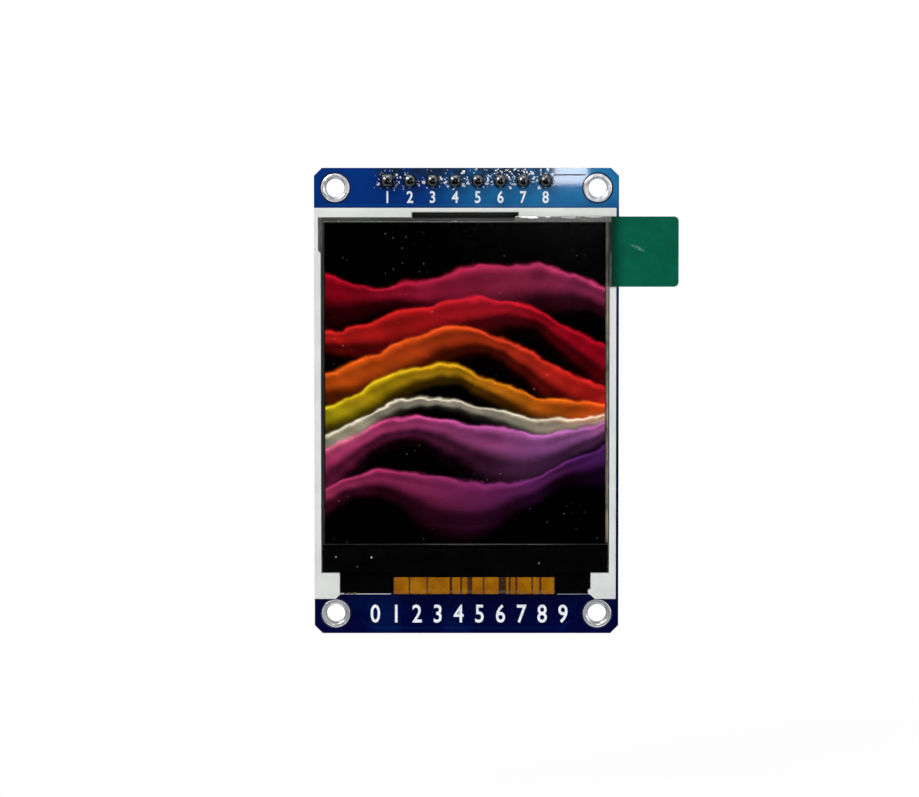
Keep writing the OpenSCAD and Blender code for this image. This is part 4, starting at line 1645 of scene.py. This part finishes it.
def picture() -> LitPicture:
    """The lit picture, set out on the front polariser."""
    span = Span.of("front_polariser")
    red, scarlet, orange = shown(196, 14, 40), shown(232, 40, 36), shown(250, 104, 26)
    yellow, cream, pink = shown(240, 214, 30), shown(244, 234, 206), shown(226, 70, 132)
    rose, mauve, violet = shown(196, 60, 110), shown(186, 110, 190), shown(96, 40, 116)
    ribbons = (
        Ribbon(red, rose, 13.6, 2.6, 0.16, 0.3, 3.6, -0.16, 8.0),
        Ribbon(scarlet, red, 8.6, 2.8, 0.15, 1.2, 3.4, -0.1, 10.0),
        Ribbon(orange, scarlet, 4.6, 3.0, 0.16, 1.7, 3.0, -0.02, 9.0),
        Ribbon(yellow, orange, 1.2, 2.6, 0.17, 2.2, 2.2, 0.06, 8.0),
        Ribbon(cream, cream, -1.6, 2.2, 0.18, 2.5, 1.1, 0.12, 6.0, 0.16),
        Ribbon(pink, mauve, -3.4, 2.6, 0.16, 2.9, 3.2, 0.2, 10.0),
        Ribbon(rose, violet, -8.2, 2.4, 0.17, 3.6, 3.4, 0.22, 9.0),
    )
    size = (span.size.x - 0.1, span.size.z - 0.1)
    return LitPicture("picture", (span.middle.x, span.middle.z), size, ribbons, shown(250, 226, 236))


def finishes() -> Iterable[Finish]:
    """Every finish of the module."""
    board = Span.of("circuit_board")
    mask = (
        (board.low.y + 0.03, board.high.y - 0.03), (board.low.z + 6, board.high.z - 7),
        shown(14, 38, 66), 11.0, (board.high.z - 1.7, board.high.z - 0.4),
    )
    tab = Span.of("pull_tab")
    return (
        # In each mask the first two colours rise towards the top as painted sheen, and the third is the
        # painted sheen of the upper right.
        SolderMask(
            "blue_mask", shown(0, 5, 54), shown(0, 48, 122), shown(20, 112, 166),
            shown(126, 116, 78), *mask,
        ),
        SolderMask(
            "mask_on_copper", shown(1, 13, 68), shown(2, 60, 138), shown(40, 124, 176),
            shown(10, 50, 100), *mask,
        ),
        # The tin's bore is darkened inside the board's thickness as painted shade.
        Metal(
            "tin", shown(246, 248, 252), shown(150, 152, 158), (0.12, 0.3), 1.8, 0.06, (0.5, 0.72),
            metallic=0.62, bore=(board.low.y - 0.04, board.high.y + 0.04),
        ),
        # Solder far darker than real solder: a painted dark reflection of unlit surroundings.
        Metal("solder", shown(84, 86, 88), shown(56, 56, 56), (0.14, 0.26), 1.4),
        Metal("dull_solder", shown(132, 132, 130), shown(78, 78, 76), (0.2, 0.4), 2.2, 0.05, metallic=0.7),
        Metal("bright_solder", shown(190, 191, 193), shown(140, 140, 140), (0.2, 0.35)),
        Metal("gold", shown(226, 186, 110), shown(180, 138, 72), (0.16, 0.3), 1.0, 0.01, stretch=(3, 0.4, 3)),
        Plastic("dark_mask", shown(4, 12, 70), shown(2, 8, 54), (0.5, 0.7), specular=0.2),
        Plastic("black_nylon", shown(26, 26, 27), shown(20, 20, 21), (0.4, 0.6)),
        Plastic("white_plastic", shown(224, 226, 223), shown(214, 217, 215), (0.3, 0.45), 0.25, 5.0, 0.004),
        Plastic("white_film", shown(240, 240, 238), shown(230, 230, 228), (0.25, 0.35)),
        Plastic("clear_acrylic", shown(222, 234, 234), shown(210, 226, 226), (0.05, 0.1), alpha=0.5),
        Plastic("prism_sheet", shown(214, 224, 224), shown(200, 212, 212), (0.2, 0.3), grain=12.0),
        Plastic("lamp_resin", shown(244, 236, 150), shown(236, 224, 130), (0.25, 0.35)),
        Plastic("lamp_strip", shown(226, 218, 186), shown(214, 204, 170)),
        Plastic("black_tape", shown(12, 12, 13), shown(8, 8, 9), (0.4, 0.55), specular=0.25),
        Plastic("gloss_black", shown(6, 6, 8), shown(3, 3, 4), (0.1, 0.2), 0.3, 1.5, 0.01, specular=0.3),
        # A grey tone on glass over a black matrix: painted reflection.
        Plastic("panel_glass", shown(78, 80, 78), shown(64, 65, 63), (0.05, 0.1), 0.2, 2.0, 0.003),
        # The ground lower edge is pale, with a painted highlight along one stretch.
        BrightEdge("ground_glass", shown(104, 103, 100), shown(44, 44, 42), (-2.5, 8.4), 4.0),
        # The left ground edge is dark as painted shade, the right one tan as a painted highlight: shaded and
        # lit copies of one edge.
        Plastic("ground_glass_left", shown(30, 22, 18), shown(20, 14, 11), (0.4, 0.6), 0.3, 3.0, 0.03),
        Plastic("ground_glass_right", shown(206, 188, 164), shown(128, 116, 102), grain=3.0, relief=0.03),
        Plastic("silicon", shown(70, 72, 80), shown(60, 62, 70), (0.08, 0.14)),
        Plastic("amber_film", shown(70, 42, 10), shown(52, 28, 6), (0.25, 0.4), 0.6, 3.0),
        Plastic(
            "amber_copper", shown(160, 105, 2), shown(138, 82, 1), (0.22, 0.34), 0.5, 3.0,
            coat=0.03, specular=0.06,
        ),
        Plastic("paper_tape", shown(214, 210, 196), shown(200, 194, 176), (0.6, 0.8)),
        # The clear film's grey band along its lifted edge is a painted reflection.
        ClearFilm("clear_film", 0.06, Span.of("protective_film").high.z, shown(130, 131, 129)),
        # White painted glints on the rippled strip along the film's upper edge.
        BrightEdge("film_glint", shown(255, 255, 255), shown(176, 178, 177), (5.2, 9.8), 1.2),
        Plastic("black_epoxy", shown(34, 34, 35), shown(27, 27, 28), (0.45, 0.6), 0.8, 9.0, 0.01),
        Plastic("tan_ceramic", shown(176, 146, 106), shown(158, 128, 90), (0.3, 0.45)),
        Plastic("resistor_glaze", shown(28, 28, 30), shown(20, 20, 22), (0.2, 0.3)),
        Plastic("white_ink", shown(246, 250, 254), shown(226, 234, 244), (0.4, 0.55), 2.0, 8.0, 0.01),
        Plastic("dry_flux", shown(254, 254, 255), shown(240, 244, 250), (0.2, 0.4)),
        # The tab's inner end gets painted shade.
        PullTabFilm(
            "green_film", shown(3, 94, 70), shown(2, 83, 62), shown(120, 184, 160),
            (tab.low.x + 2.9, tab.middle.z + 0.42), tab.low.x + 0.7,
        ),
        picture(),
    )


def main() -> None:
    """Build the module in order, then the studio round it."""
    logging.basicConfig(level=logging.INFO, format="%(name)s: %(message)s")
    # Without a seed of its own the noise of mathutils starts from the clock.
    noise.seed_set(NOISE_SEED)
    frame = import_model()
    shop = Workshop(frame, {finish.name: finish.make() for finish in finishes()})
    for assembly in (Board, PinHeader, Panel, FlexTail, PullTab, RearParts):
        assembly(shop).build()
    Studio(Span.of("circuit_board").low.y).build()


if __name__ == "__main__":
    main()
